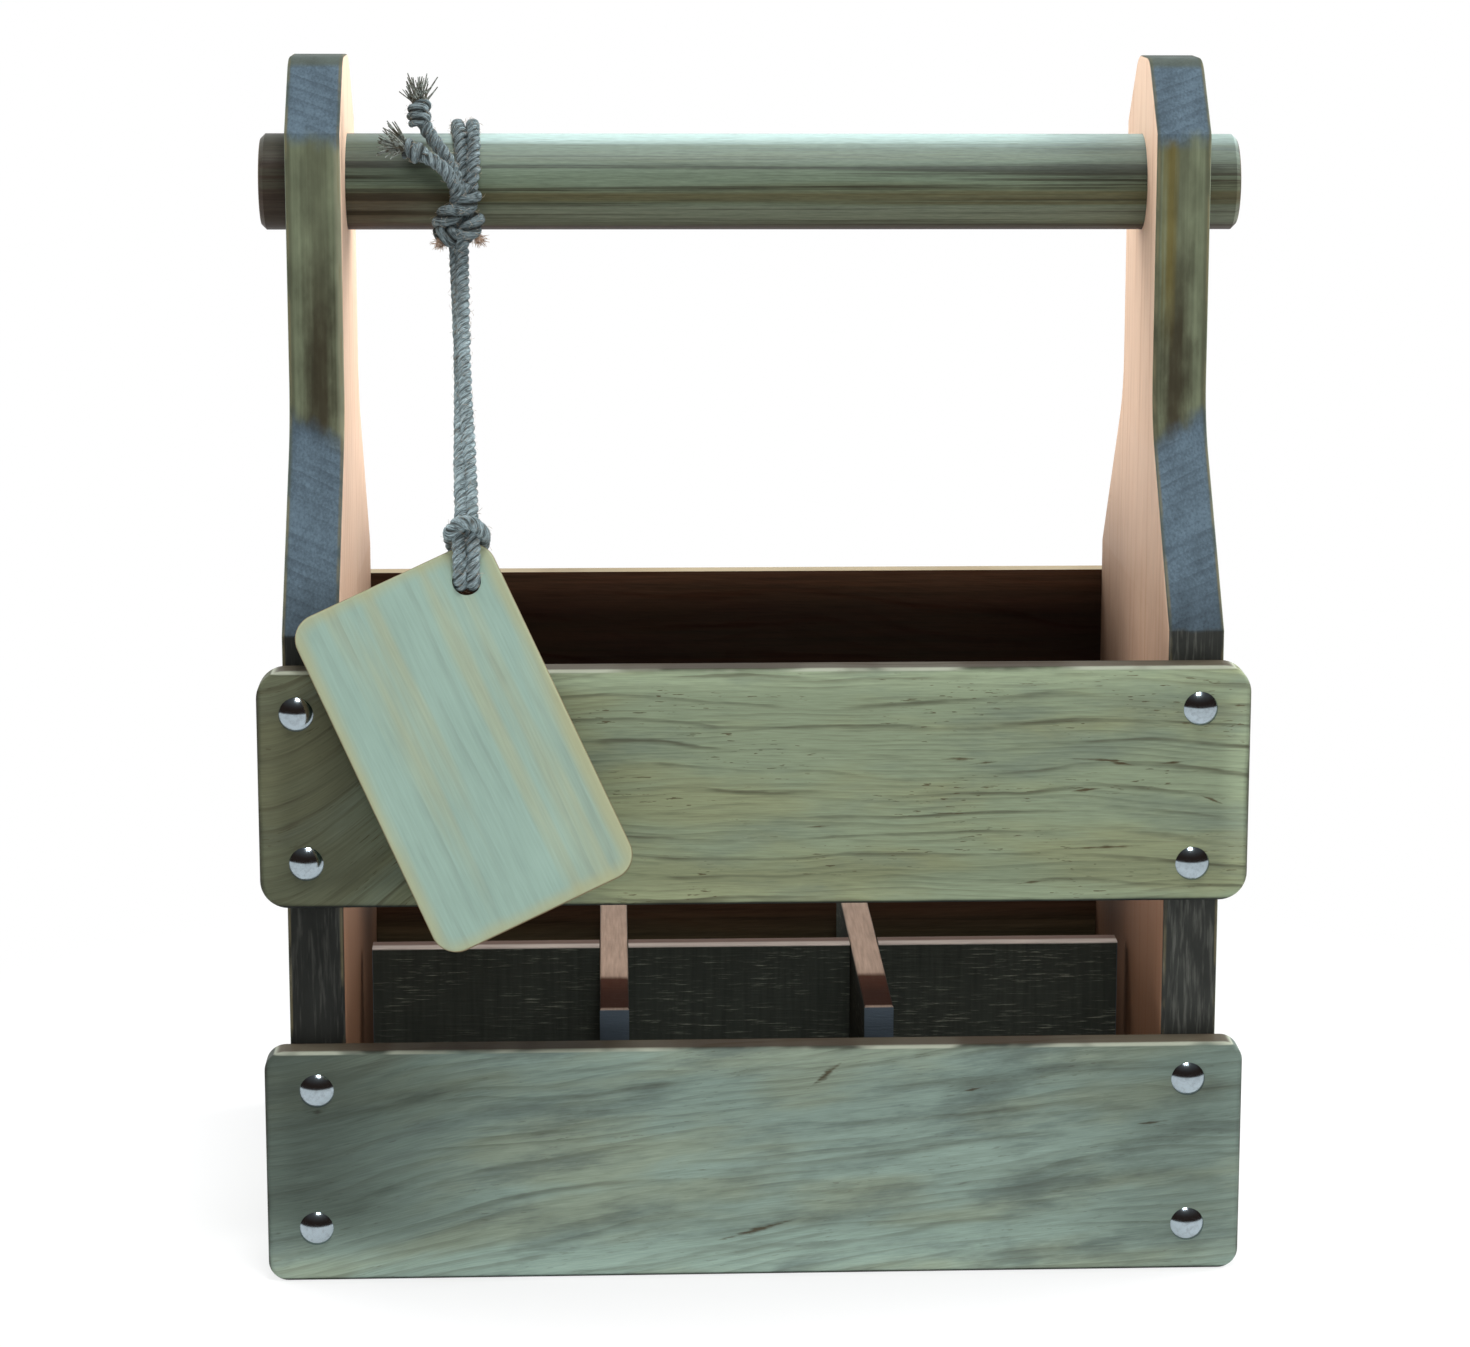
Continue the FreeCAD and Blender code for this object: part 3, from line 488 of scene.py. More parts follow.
# %% [markdown]
# A narrow face changes with its height. Each zone has a short function of its own, and one more
# lays the zones over each other, so that a border can be moved without touching the colours.

# %% The boards' narrow faces


def slate_wash(x, y, z, across):
    """End grain: slate blue arcs of rings, olive along both arrises, darker at the shoulder."""
    arcs = growth_rings(across, z - across * END_GRAIN_SLANT, y, 5.5, 9.0, 6.1, 0.15)
    speck = noise(z / 1.6, x / 0.8, y / 0.8, 3.0)
    slate = shade(mix(arcs * 0.42, END_SLATE, END_DARK), speck * 1.1 + 0.49)
    slate = mix(rise(abs(across), 7.3, 8.5) * 0.65, slate, SLATE_BORDER)
    return shade(slate, rise(z, SHOULDER_HEIGHT, SHOULDER_HEIGHT + 26) * 0.42 + 0.58)


def neck_wash(x, y, z, across, blotch):
    """Olive round a dark core that fades upwards; ochre on the right neck, a pale left arris."""
    on_right = rise(x, *CADDY_MIDDLE)
    streak = noise(z / 70, across / 1.7, y / 9, 3.0, 0.6)
    core = fall(abs(across + 1.5) + swing(blotch, 9) + swing(streak, 4), 0.4, 9.0)
    core = core * (1 - rise(z + swing(blotch, 30), *NECK_FADE) * 0.62)
    neck = shade(OLIVE, swing(streak, 0.65) + 0.97)
    neck = mix(core * 0.88, neck, OLIVE_CORE)
    ochre = fall(abs(across + 4.0) + swing(streak, 5), 0.5, 3.4) * on_right
    neck = mix(ochre * rise(z, *OCHRE_FADE) * 0.70, neck, NECK_OCHRE)
    neck = mix(rise(abs(across), 6.6, 7.6) * 0.40, neck, OLIVE_CORE)
    left_inner = fall(across, -8.2, -6.0) * (1 - on_right)
    return mix(left_inner * 0.85, neck, NECK_PALE)


def sawn_wash(x, y, z):
    """Charcoal over saw marks, lighter on the right board; the left board's is darkened by a
    painted shadow of the tag.
    """
    rough = noise(z / 14, x / 1.2, y / 1.2, 4.0)
    sawn = mix(rise(rough, 0.48, 0.70), CHARCOAL, CHARCOAL_PALE)
    return shade(sawn, rise(x, *CADDY_MIDDLE) * 0.50 + 0.62)


def board_edge(x, y, z, across, blotch):
    """The wash by height, charcoal, slate, olive and slate again, and where end grain shows."""
    level = z - across * END_GRAIN_SLANT + swing(noise(z / 8, x / 5, y / 20, 2.0), 7)
    on_neck = rise(level, NECK_FOOT_HEIGHT - 8, NECK_FOOT_HEIGHT + 2)
    slope = rise(z + swing(blotch, 2), SHOULDER_HEIGHT - 0.9, SHOULDER_HEIGHT + 0.9) * (1 - on_neck)
    end_grain = slope.math("MAXIMUM", rise(level + across * 0.4, HEAD_HEIGHT - 6, HEAD_HEIGHT + 1))
    edge = mix(on_neck, sawn_wash(x, y, z), neck_wash(x, y, z, across, blotch))
    edge = mix(end_grain, edge, slate_wash(x, y, z, across))
    edge = mix(rise(z, CREST_HEIGHT - 3.6, CREST_HEIGHT - 1.8) * 0.70, edge, SLATE_BORDER)
    return shade(edge, swing(blotch, 0.9) + 1.0), end_grain


# %% [markdown]
# The broad faces lie nearest to the middle of the caddy and furthest from it, so that distance
# also tells bare wood inside from wash outside, and finds the arrises between them and the narrow
# faces, which are worn and brightened by a painted highlight.

# %% Finish the side boards


def bare_wood(y, z, rings, fibre, blotch):
    """The inner face: peach, darker towards the floor with stain and painted shade, and darkest
    with painted shade in the back corners.
    """
    bare = shade(mix(rings * 0.42, PEACH, PEACH_LINE), swing(fibre, 0.45) + 1.0)
    bare = mix(fall(z + swing(blotch, 40), *GLOOM_FADE) * 0.80, bare, INNER_STAIN_AND_SHADE)
    corner_shade = fall(z, *CORNER_SHADE_FADE) * rise(y, *CORNER_SHADE_DEPTH)
    return shade(bare, 1 - corner_shade * 0.78)


def outer_wash(x, y, z, fibre):
    """The outer face: sage with upright growth lines and slate clouds."""
    figure = growth_rings(z * 0.26, y, x, 7.2, 34.0, 5.2, 0.55)
    cloud = noise(z / 60, y / 15, x / 15 + 3.0, 4.0, 0.6)
    outer = mix(rise(cloud, 0.44, 0.68) * 0.55, OUTER_WASH, SLATE)
    return shade(mix(figure * 0.75, outer, OUTER_LINE), swing(fibre, 0.7) + 1.0)


def board_finish():
    material, wire = start_material("side_board_finish")
    x, y, z = millimetres(wire)
    low, high = box_mm("right_side_board")
    reach = abs(x)
    rings = growth_rings(z * 0.45, y, x, 8.5, 38.0, 2.9, 0.45)
    fibre = noise(z / 18, y / 0.6, x / 0.6, 3.0, 0.6)
    blotch = noise(z / 18, y / 12, x / 7, 4.0)
    edge, end_grain = board_edge(x, y, z, reach - (low.x + high.x) / 2, blotch)
    colour = mix(rise(reach, high.x - 0.35, high.x - 0.02), edge, outer_wash(x, y, z, fibre))
    inner = bare_wood(y, z, rings, fibre, blotch)
    colour = mix(fall(reach, low.x + 0.02, low.x + 0.35), colour, inner)
    # Worn arrises, brightened with a painted highlight.
    wear_and_highlight = rise(reach, high.x - 1.2, high.x - 0.7) * fall(reach, high.x - 0.4, high.x - 0.05)
    wear_and_highlight = wear_and_highlight + rise(reach, low.x + 0.3, low.x + 0.8) * fall(reach, low.x + 0.9, low.x + 1.7)
    colour = mix(wear_and_highlight * rise(blotch, 0.40, 0.62) * 0.55, colour, ARRIS_TAN)
    roughness = fibre * 0.1 - end_grain * 0.1 + 0.60
    finish_material(material, colour, roughness, fibre * 0.6 + blotch * 0.4 - rings * 0.4, 0.16)
    hang(["left_side_board", "right_side_board"], material)


board_finish()

# %% [markdown]
# ## Handle
# The dowel was turned from one straight length, so its grain runs as streaks from end to end. An
# image would need unwrapping; here the angle round the dowel gives the across coordinate. The top
# is worn pale and brightened with a painted highlight, the underside is dark, painted shade darkens
# it beside both boards, dark bands run along the brown left end, and both end faces show rings.

# %% Dowel colours and places
DOWEL_GREEN = paint(0.110, 0.134, 0.084)
DOWEL_PALE = paint(0.130, 0.170, 0.120)
DOWEL_STREAK = paint(0.022, 0.017, 0.009)
DOWEL_UNDER = paint(0.036, 0.014, 0.008)
# The next colour is the worn top, brightened by a painted highlight.
DOWEL_WEAR_AND_HIGHLIGHT = paint(0.500, 0.665, 0.640)
DOWEL_OCHRE = paint(0.078, 0.062, 0.022)
DOWEL_LOW = paint(0.170, 0.190, 0.140)
DOWEL_BROWN = paint(0.072, 0.052, 0.034)
STUB_BROWN = paint(0.034, 0.022, 0.016)
END_GROUND = paint(0.120, 0.098, 0.068)
END_RING = paint(0.046, 0.036, 0.026)
DOWEL_HEIGHT = 347.0
DARK_BANDS = ((6.4, 1.5), (2.8, 0.9), (-3.6, 2.2), (-9.4, 1.6))
BANDED_END = (-122.0, -82.0)
# The next place fades the worn top and its painted highlight towards the left board.
LEFT_WEAR_HIGHLIGHT_FADE = (-140.0, -85.0)
# The next two places hold painted shade on the dowel beside each board.
LEFT_SHADE_REACH = (-118.0, -84.0)
RIGHT_SHADE_REACH = (88.0, 126.0)
BOARD_FACE = (138.0, 142.0)
STUB_START = (146.0, 152.0)

# %% [markdown]
# The height above the dowel's axis places the bands, and the wear with its painted highlight.
# Streaks of noise are added to that height first, so that no border is a straight line.

# %% Finish the dowel


def dowel_bands(x, up, colour, streak, broad):
    """Brown below the middle of the left end, with dark bands along it."""
    left_end = fall(x + swing(broad, 80), *BANDED_END)
    brown = fall(up + swing(streak, 6), -5.0, -1.0)
    colour = mix(left_end * brown * 0.75, colour, DOWEL_BROWN)
    for band_height, band_width in DARK_BANDS:
        band = fall(abs(up - band_height) + swing(streak, 5), band_width * 0.4, band_width)
        colour = mix(left_end * band * 0.80, colour, DOWEL_STREAK)
    return colour


def dowel_wear_and_shade(x, y, up, colour, streak, fibre, radius):
    """A pale top, worn and brightened by a painted highlight, a dark underside, painted shade
    beside both boards, and brown stubs.
    """
    lift = up + swing(streak, 5)
    # A worn top with a painted highlight, fading towards the back and the left board.
    wear_and_highlight = rise(lift, radius * 0.15, radius) * 0.30
    wear_and_highlight = wear_and_highlight + rise(lift, radius * 0.74, radius * 0.98) * 0.55
    wear_and_highlight = wear_and_highlight * (1 - rise(y, -2.0, 9.0) * 0.55) * (1 - rise(fibre, 0.50, 0.68) * 0.35)
    colour = mix(wear_and_highlight * (rise(x, *LEFT_WEAR_HIGHLIGHT_FADE) * 0.65 + 0.40), colour, DOWEL_WEAR_AND_HIGHLIGHT)
    under = fall(up + swing(streak, 4), 0.5 - radius, 4.0 - radius)
    colour = mix(under * 0.92, colour, DOWEL_UNDER)
    # Painted shade on the dowel beside both boards.
    left_board_shade = fall(x + swing(streak, 50), *LEFT_SHADE_REACH) * rise(up, -3, 2)
    right_board_shade = rise(x + swing(streak, 30), *RIGHT_SHADE_REACH) * rise(up, -6, 2)
    board_shade = (left_board_shade * 0.50 + right_board_shade * 0.34) * fall(abs(x), *BOARD_FACE)
    stub = rise(abs(x), *STUB_START) * (1 - rise(x, 0.0, 1.0) * 0.60)
    return mix(stub * 0.85, shade(colour, 1 - board_shade), STUB_BROWN)


def dowel_finish():
    material, wire = start_material("dowel_finish")
    x, y, z = millimetres(wire)
    low, high = box_mm("handle_dowel")
    radius = (high.z - low.z) / 2
    half_length = (high.x - low.x) / 2
    up = z - DOWEL_HEIGHT
    turn = y.math("ARCTAN2", up)
    cosine = turn.math("COSINE") * radius
    sine = turn.math("SINE") * radius
    streak = noise(x / 240, cosine / 2.2, sine / 2.2, 5.0, 0.6)
    broad = noise(x / 300, cosine / 8, sine / 8, 2.0)
    fibre = noise(x / 14, cosine / 0.55, sine / 0.55, 3.0, 0.6)
    hairline = noise(x / 130, cosine / 0.7, sine / 0.7, 3.0, 0.6)
    speckle = noise(x / 4.5, cosine / 0.4, sine / 0.4, 2.0, 0.6)
    colour = mix(rise(broad, 0.42, 0.6) * rise(up, -radius, 4), DOWEL_GREEN, DOWEL_PALE)
    colour = mix(rise(streak, 0.50, 0.66) * 0.80, colour, DOWEL_STREAK)
    colour = mix(rise(up, -14.0, -11.0) * fall(up, -8.0, -5.5) * 0.60, colour, DOWEL_LOW)
    colour = mix(rise(hairline, 0.55, 0.68) * 0.50, colour, DOWEL_STREAK)
    colour = mix(fall(abs(up + 4.0) + swing(streak, 6), 0.6, 2.8) * 0.65, colour, DOWEL_OCHRE)
    colour = dowel_bands(x, up, colour, streak, broad)
    colour = dowel_wear_and_shade(x, y, up, colour, streak, fibre, radius)
    colour = shade(colour, swing(fibre, 0.7) + swing(speckle, 0.6) + 1.0)
    from_axis = (y * y + up * up).math("SQRT")
    hoop = (from_axis / 2.1 + broad * 1.5).math("FRACT")
    from_middle = abs(x - (low.x + high.x) / 2)
    end = rise(from_middle, half_length - 0.4, half_length - 0.1)
    colour = mix(end * 0.92, colour, mix(rise(hoop, 0.25, 0.9), END_RING, END_GROUND))
    finish_material(material, colour, streak * 0.2 + 0.36, fibre * 0.6 - streak * 0.4, 0.12,
                    gloss=0.12)
    hang(["handle_dowel"], material)


dowel_finish()

# %% [markdown]
# ## Dividers and floor
# The lattice is rough-sawn softwood under a charcoal wash, with saw scratches along the grain. The
# top edges were planed after the wash, so pink bare wood shows there. A dark red covers part of
# it: on the front of the short dividers it is a painted shadow of the upper front rail, and it
# darkens the back half of the long one. One function serves all three, told which way the grain
# runs. The floor slats below are simply dark.

# %% Finish the dividers and the floor
SAWN_DARK = paint(0.036, 0.041, 0.034)
SAWN_PALE = paint(0.185, 0.195, 0.155)
DIVIDER_TOP = paint(0.410, 0.300, 0.232)
CROSS_TOP = paint(0.420, 0.365, 0.325)
# The next colour paints the rail's shadow on the short dividers and darkens the long one's back.
DIVIDER_DARK_RED = paint(0.060, 0.016, 0.006)
END_BLUE = paint(0.070, 0.092, 0.116)
SLAT_DARK = paint(0.040, 0.026, 0.018)
SLAT_PALE = paint(0.085, 0.060, 0.042)
# Where the painted shadow of the upper front rail ends on the short dividers.
DIVIDER_SHADOW_END = (-46.0, -40.0)
GRAIN_ALONG_X = 0
GRAIN_ALONG_Y = 1


def planed_top(y, streaks, patch, grain_axis, low, high):
    """Bare wood along a divider's top edge, with a painted shadow of the upper front rail on a
    short divider's front and a dark back half on the long one.
    """
    planed = shade(CROSS_TOP if grain_axis == GRAIN_ALONG_X else DIVIDER_TOP, streaks * 0.9 + 0.52)
    # The front of a short divider's top lies in a painted shadow of the upper front rail.
    rail_shadow = rise(y, low.y + 1.0, low.y + 1.8) * fall(y + swing(patch, 6), *DIVIDER_SHADOW_END)
    planed = mix(rail_shadow * 0.97, planed, DIVIDER_DARK_RED)
    if grain_axis == GRAIN_ALONG_X:
        middle = (low.y + high.y) / 2
        planed = mix(rise(y, middle - 1.5, middle + 0.5) * 0.75, planed, DIVIDER_DARK_RED)
    return planed


def divider_finish(name, grain_axis, seed):
    material, wire = start_material(f"{name}_finish")
    places = millimetres(wire)
    y, z = places[1:]
    low, high = box_mm(name)
    along = places[grain_axis]
    depth = places[1 - grain_axis]
    scratch = noise(along / 9, z / 0.6, depth / 5 + seed, 4.0, 0.65)
    patch = noise(along / 40, z / 16, depth / 16 + seed, 3.0)
    saw_mark = noise(along / 1.6, z / 24, depth / 8 + seed, 2.0)
    streaks = noise(along / 16, depth / 0.9, seed + 4.0, 3.0)
    colour = mix(rise(scratch, 0.54, 0.74) * rise(patch, 0.34, 0.62), SAWN_DARK, SAWN_PALE)
    colour = shade(colour, saw_mark * 0.6 + 0.7)
    from_middle = abs(along - (low[grain_axis] + high[grain_axis]) / 2)
    half_length = (high[grain_axis] - low[grain_axis]) / 2
    colour = mix(rise(from_middle, half_length - 0.3, half_length - 0.05) * 0.9, colour, END_BLUE)
    top = rise(z, high.z - 0.6, high.z - 0.15)
    colour = mix(top * 0.92, colour, planed_top(y, streaks, patch, grain_axis, low, high))
    finish_material(material, colour, patch * 0.2 + 0.65, scratch + saw_mark * 0.4, 0.25)
    hang([name], material)


def slat_finish():
    material, wire = start_material("floor_slat_finish")
    x, y, z = millimetres(wire)
    rings = growth_rings(x, y, z, 10.0, 40.0, 8.1)
    fibre = noise(x / 20, y / 0.9, z / 0.9, 2.0)
    colour = shade(mix(rings * 0.6, SLAT_PALE, SLAT_DARK), fibre * 0.4 + 0.8)
    finish_material(material, colour, fibre * 0.15 + 0.65, fibre - rings * 0.4, 0.12)
    hang(["floor_slat_front", "floor_slat_back"], material)


divider_finish("cross_divider", GRAIN_ALONG_X, 1.3)
divider_finish("left_divider", GRAIN_ALONG_Y, 4.9)
divider_finish("right_divider", GRAIN_ALONG_Y, 7.7)
slat_finish()

# %% [markdown]
# ## Tag
# The tag is a thin plate of the same softwood with a paler wash. Its grain runs along its longer
# side, the wash turns warm towards the outline, and the rim is brown. The plate hangs turned and
# leaning, so dot products with its own directions give the coordinates. Its face stays plain.

# %% Finish the tag
TAG_HOLE = Vector((-91.2, -92.754, 228.9))
TAG_TILT = math.radians(16.0)
TAG_TURN = math.radians(25.0)
TAG_LEAN = Matrix.Rotation(-TAG_TILT, 3, "X")
TAG_FRAME = TAG_LEAN @ Matrix.Rotation(-TAG_TURN, 3, "Y")
TAG_ACROSS = TAG_FRAME @ Vector((1, 0, 0))
TAG_ALONG = TAG_FRAME @ Vector((0, 0, 1))
TAG_OUT = TAG_FRAME @ Vector((0, -1, 0))
TAG_HALF_THICKNESS = 3.0
TAG_WIDTH = 68.0
TAG_HEIGHT = 115.5
TAG_HOLE_INSET = 11.0
TAG_PALE = paint(0.266, 0.378, 0.322)
TAG_CREAM = paint(0.320, 0.365, 0.255)
TAG_WARM = paint(0.360, 0.365, 0.215)
TAG_LINE = paint(0.175, 0.225, 0.185)
TAG_RIM = paint(0.150, 0.085, 0.035)


def along_direction(wire, direction):
    """Millimetres from the tag's hole, along a direction."""
    place = wire.node("ShaderNodeTexCoord", output="Object")
    return place.vector("DOT_PRODUCT", {1: direction / MM}, "Value") - TAG_HOLE.dot(direction)


def tag_finish():
    material, wire = start_material("tag_finish")
    across, along, out = (along_direction(wire, d) for d in (TAG_ACROSS, TAG_ALONG, TAG_OUT))
    rings = growth_rings(along, across, out, 6.5, 14.0, 3.3)
    band = noise(along / 160, across / 9, 2.2, 2.0)
    fibre = noise(along / 14, across / 0.8, out / 0.8, 2.0)
    cloud = noise(along / 40, across / 25, 5.1, 3.0)
    colour = mix(rise(band, 0.45, 0.66) * 0.8, TAG_PALE, TAG_CREAM)
    colour = mix(rings * 0.28, colour, TAG_LINE)
    colour = shade(colour, swing(fibre, 0.24) + swing(cloud, 0.3) + 1.0)
    border = TAG_HOLE_INSET - across
    for side in (across + (TAG_WIDTH - TAG_HOLE_INSET), TAG_HOLE_INSET - along,
                 along + (TAG_HEIGHT - TAG_HOLE_INSET)):
        border = border.math("SMOOTH_MIN", side, 5.0)
    colour = mix(fall(border + swing(cloud, 6), 0.4, 5.5) * 0.70, colour, TAG_WARM)
    rim = fall(abs(out), TAG_HALF_THICKNESS - 0.7, TAG_HALF_THICKNESS - 0.1)
    colour = mix(rim * 0.85, colour, TAG_RIM)
    finish_material(material, colour, fibre * 0.1 + 0.48, fibre * 0.5 - rings * 0.3, 0.08)
    hang(["tag"], material)


tag_finish()

# %% [markdown]
# ## Geometry trees
# Nails, rope plies and loose fibres all repeat, so Geometry Nodes make them. Each tree below has
# named inputs. The helper that grows a tree sets them by identifier, evaluates the object once,
# keeps the plain mesh and drops the modifier.

# %% Helpers for geometry trees


def start_tree(name, sockets):
    """A geometry tree with these named inputs after its geometry."""
    tree = bpy.data.node_groups.new(name, "GeometryNodeTree")
    tree.interface.new_socket("Geometry", in_out="INPUT", socket_type="NodeSocketGeometry")
    for label, kind in {**sockets, "Material": "Material"}.items():
        tree.interface.new_socket(label, in_out="INPUT", socket_type=f"NodeSocket{kind}")
    tree.interface.new_socket("Geometry", in_out="OUTPUT", socket_type="NodeSocketGeometry")
    return tree, Wire(tree).node("NodeGroupInput")


def end_tree(given, shape):
    """Realize what was instanced, give it its material and hand it out."""
    solid = given.node("GeometryNodeRealizeInstances", None, {"Geometry": shape})
    smooth = given.node("GeometryNodeSetShadeSmooth", None, {"Geometry": solid})
    dressed = given.node("GeometryNodeSetMaterial", None,
                         {"Geometry": smooth, "Material": given.other("Material")})
    given.node("NodeGroupOutput", None, {"Geometry": dressed})


def grow(name, mesh, tree, values):
    """A new object whose plain mesh is what the tree makes of this mesh."""
    piece = bpy.data.objects.new(name, mesh)
    scene.collection.objects.link(piece)
    modifier = piece.modifiers.new(tree.name, "NODES")
    modifier.node_group = tree
    for item in tree.interface.items_tree:
        if item.in_out == "INPUT" and item.name in values:
            modifier[item.identifier] = values[item.name]
    graph = bpy.context.evaluated_depsgraph_get()
    made = bpy.data.meshes.new_from_object(piece.evaluated_get(graph),
                                           preserve_all_data_layers=True, depsgraph=graph)
    piece.modifiers.remove(modifier)
    piece.data = made
    made.name = name
    print(name, "faces", len(made.polygons))
    return piece


def vertex_mesh(name, points, joined=False):
    """A mesh of bare points, joined in a line if asked."""
    mesh = bpy.data.meshes.new(name)
    edges = [(i, i + 1) for i in range(len(points) - 1)] if joined else []
    mesh.from_pydata(points, edges, [])
    return mesh


# %% [markdown]
# ## Domed nails
# Sixteen bright domed nails hold the rails. A dome is the shallow cap of a ball, known by its
# diameter and its height, and one tree sets it on every nail. The places are read from the CAD
# nails: the tip of each dome is the point that stands out furthest.

# %% Set the nails
DOME_DIAMETER = 0.0110
DOME_SEGMENTS = 40
DOME_RINGS = 28
TIP_TOLERANCE = 2e-5
CHROME_BRIGHT = paint(0.37, 0.44, 0.48)
CHROME_HAZE = paint(0.24, 0.27, 0.29)


def nail_tree():
    tree, given = start_tree("domed_nails", {
        "Diameter": "Float", "Height": "Float", "Facing": "Float"})
    ball = given.node("GeometryNodeMeshUVSphere", None,
                      {"Segments": DOME_SEGMENTS, "Rings": DOME_RINGS, "Radius": 1.0})
    x = given.node("ShaderNodeSeparateXYZ", None, {0: given.node("GeometryNodeInputPosition")})
    y, z = x.other("Y"), x.other("Z")
    radius = given.other("Diameter") / 2
    height = given.other("Height")
    curve = (radius * radius + height * height) / (height * 2)
    arch = (curve * curve - radius * radius * (1 - z * z)).math("SQRT")
    lift = (arch - curve + height) * z.math("GREATER_THAN", -0.001)
    moved = given.node("ShaderNodeCombineXYZ", None, {0: x * radius, 1: y * radius, 2: lift})
    dome = given.node("GeometryNodeSetPosition", None, {"Geometry": ball, "Position": moved})
    points = given.node("GeometryNodeMeshToPoints", None, {"Mesh": given.other("Geometry")})
    turn = given.node("FunctionNodeAxisAngleToRotation", None,
                      {"Axis": (1.0, 0.0, 0.0), "Angle": given.other("Facing")})
    nails = given.node("GeometryNodeInstanceOnPoints", None,
                       {"Points": points, "Instance": dome, "Rotation": turn})
    end_tree(given, nails)
    return tree


def chrome_finish():
    material, wire = start_material("dome_chrome")
    x, y, z = millimetres(wire)
    haze = noise(x / 1.6, y / 1.6, z / 1.6, 3.0)
    colour = mix(rise(haze, 0.4, 0.8) * 0.5, CHROME_BRIGHT, CHROME_HAZE)
    shader = finish_material(material, colour, haze * 0.10 + 0.11)
    shader.inputs["Metallic"].default_value = 1.0
    return material


def dome_feet(group, rail):
    """The middles of the domes on a rail's outer face, and how high each stands."""
    to_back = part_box(rail)[0][1] > 0
    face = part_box(rail)[1][1] if to_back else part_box(rail)[0][1]
    points = [vertex.co for vertex in nodes[group].data.vertices]
    tip = max(point.y for point in points) if to_back else min(point.y for point in points)
    spots = {(round(p.x, 4), round(p.z, 4)) for p in points if abs(p.y - tip) < TIP_TOLERANCE}
    return [(x, face, z) for x, z in sorted(spots)], abs(tip - face), to_back


dome_tree = nail_tree()
chrome = chrome_finish()
for row in ("upper", "lower"):
    for face in ("front", "back"):
        group = f"{row}_{face}_nails"
        feet, height, to_back = dome_feet(group, f"{row}_{face}_rail")
        facing = -math.pi / 2 if to_back else math.pi / 2
        heads = grow(f"{row}_{face}_domes", vertex_mesh(f"{group}_feet", feet), dome_tree,
                     {"Diameter": DOME_DIAMETER, "Height": height, "Facing": facing,
                      "Material": chrome})
        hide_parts(group)
        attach(heads, "crate")
        print(group, len(feet), "domes")

# %% [markdown]
# The nails that hold the floor are plain steel pins, driven in from outside. Only their flat heads
# show, so the CAD nails stay and get a dull finish.

# %% Finish the floor nails
PIN_STEEL = paint(0.42, 0.42, 0.41)
PIN_DULL = paint(0.20, 0.17, 0.14)


def pin_finish():
    material, wire = start_material("pin_steel")
    x, y, z = millimetres(wire)
    stain = noise(x / 1.2, y / 1.2, z / 1.2, 3.0)
    colour = mix(rise(stain, 0.4, 0.7), PIN_STEEL, PIN_DULL)
    shader = finish_material(material, colour, stain * 0.3 + 0.3)
    shader.inputs["Metallic"].default_value = 1.0
    hang(["left_floor_nails", "right_floor_nails"], material)


pin_finish()

# %% [markdown]
# ## Cord
# One soft jute cord holds the tag. It goes twice round the handle, is tied there, hangs as two
# strands and grips the tag with a cow hitch through its hole. A smooth tube would look like wire,
# so the route is a NURBS line, and three plies are wound round points read from it.

# %% Cord sizes and the routes' shared places
CORD_DIAMETER = 3.7
CORD_RADIUS = CORD_DIAMETER / 2
DOWEL_RADIUS = 15.85
CORD_CLEARANCE = 0.35
TURN_RADIUS = DOWEL_RADIUS + CORD_CLEARANCE + CORD_RADIUS
TURN_PITCH = 5.0
FIRST_TURN_X = -89.9
TURNS_START = 34.0
TURNS_END = 646.0
TURN_SPANS = 21
KNOT_CENTRE = Vector((-94.9, -24.74, 337.5))


def from_knot(right, back, up):
    return KNOT_CENTRE + Vector((right, back, up))


def on_tag(right, up, out):
    """A place told from the tag's hole: to the right, up the leaning tag, and out of its face."""
    return TAG_HOLE + TAG_LEAN @ Vector((right, -out, up))


def smooth_line(name, points):
    """Points in metres along a NURBS line with these control points, which are in millimetres."""
    curve = bpy.data.curves.new(name, "CURVE")
    curve.dimensions = "3D"
    curve.resolution_u = 10
    spline = curve.splines.new("NURBS")
    spline.points.add(len(points) - 1)
    for target, point in zip(spline.points, points):
        target.co = (*(point * MM), 1.0)
    spline.order_u = 3
    spline.use_endpoint_u = True
    holder = bpy.data.objects.new(name, curve)
    mesh = bpy.data.meshes.new_from_object(holder)
    line = [vertex.co.copy() for vertex in mesh.vertices]
    bpy.data.objects.remove(holder)
    bpy.data.curves.remove(curve)
    bpy.data.meshes.remove(mesh)
    return line


def line_length(line):
    return sum((b - a).length for a, b in zip(line, line[1:]))


# %% [markdown]
# Jute is grey and fibrous and brown in patches, and painted shade darkens it between its plies. At
# the knot, on the turns and in the hitch it is darker than on the hanging strands, partly from
# handling and partly painted shade, and a painted shadow lies on the strands just under the knot.
# Heights tell those places apart, because the cord keeps its own place in its mesh.

# %% The cord's finish
JUTE_GREY = paint(0.180, 0.238, 0.254)
JUTE_PALE = paint(0.465, 0.582, 0.615)
JUTE_DARK = paint(0.036, 0.030, 0.022)
JUTE_BROWN = paint(0.185, 0.145, 0.100)
# The next shares and heights darken knot, turns and hitch, from handling and painted shade.
KNOT_SHADE = 0.44
TURNS_SHADE = 0.62
HITCH_SHADE = 0.86
KNOT_SHADOW_START = (302.0, 328.0)
TURNS_ABOVE = (345.0, 353.0)
HITCH_BELOW = (246.0, 254.0)


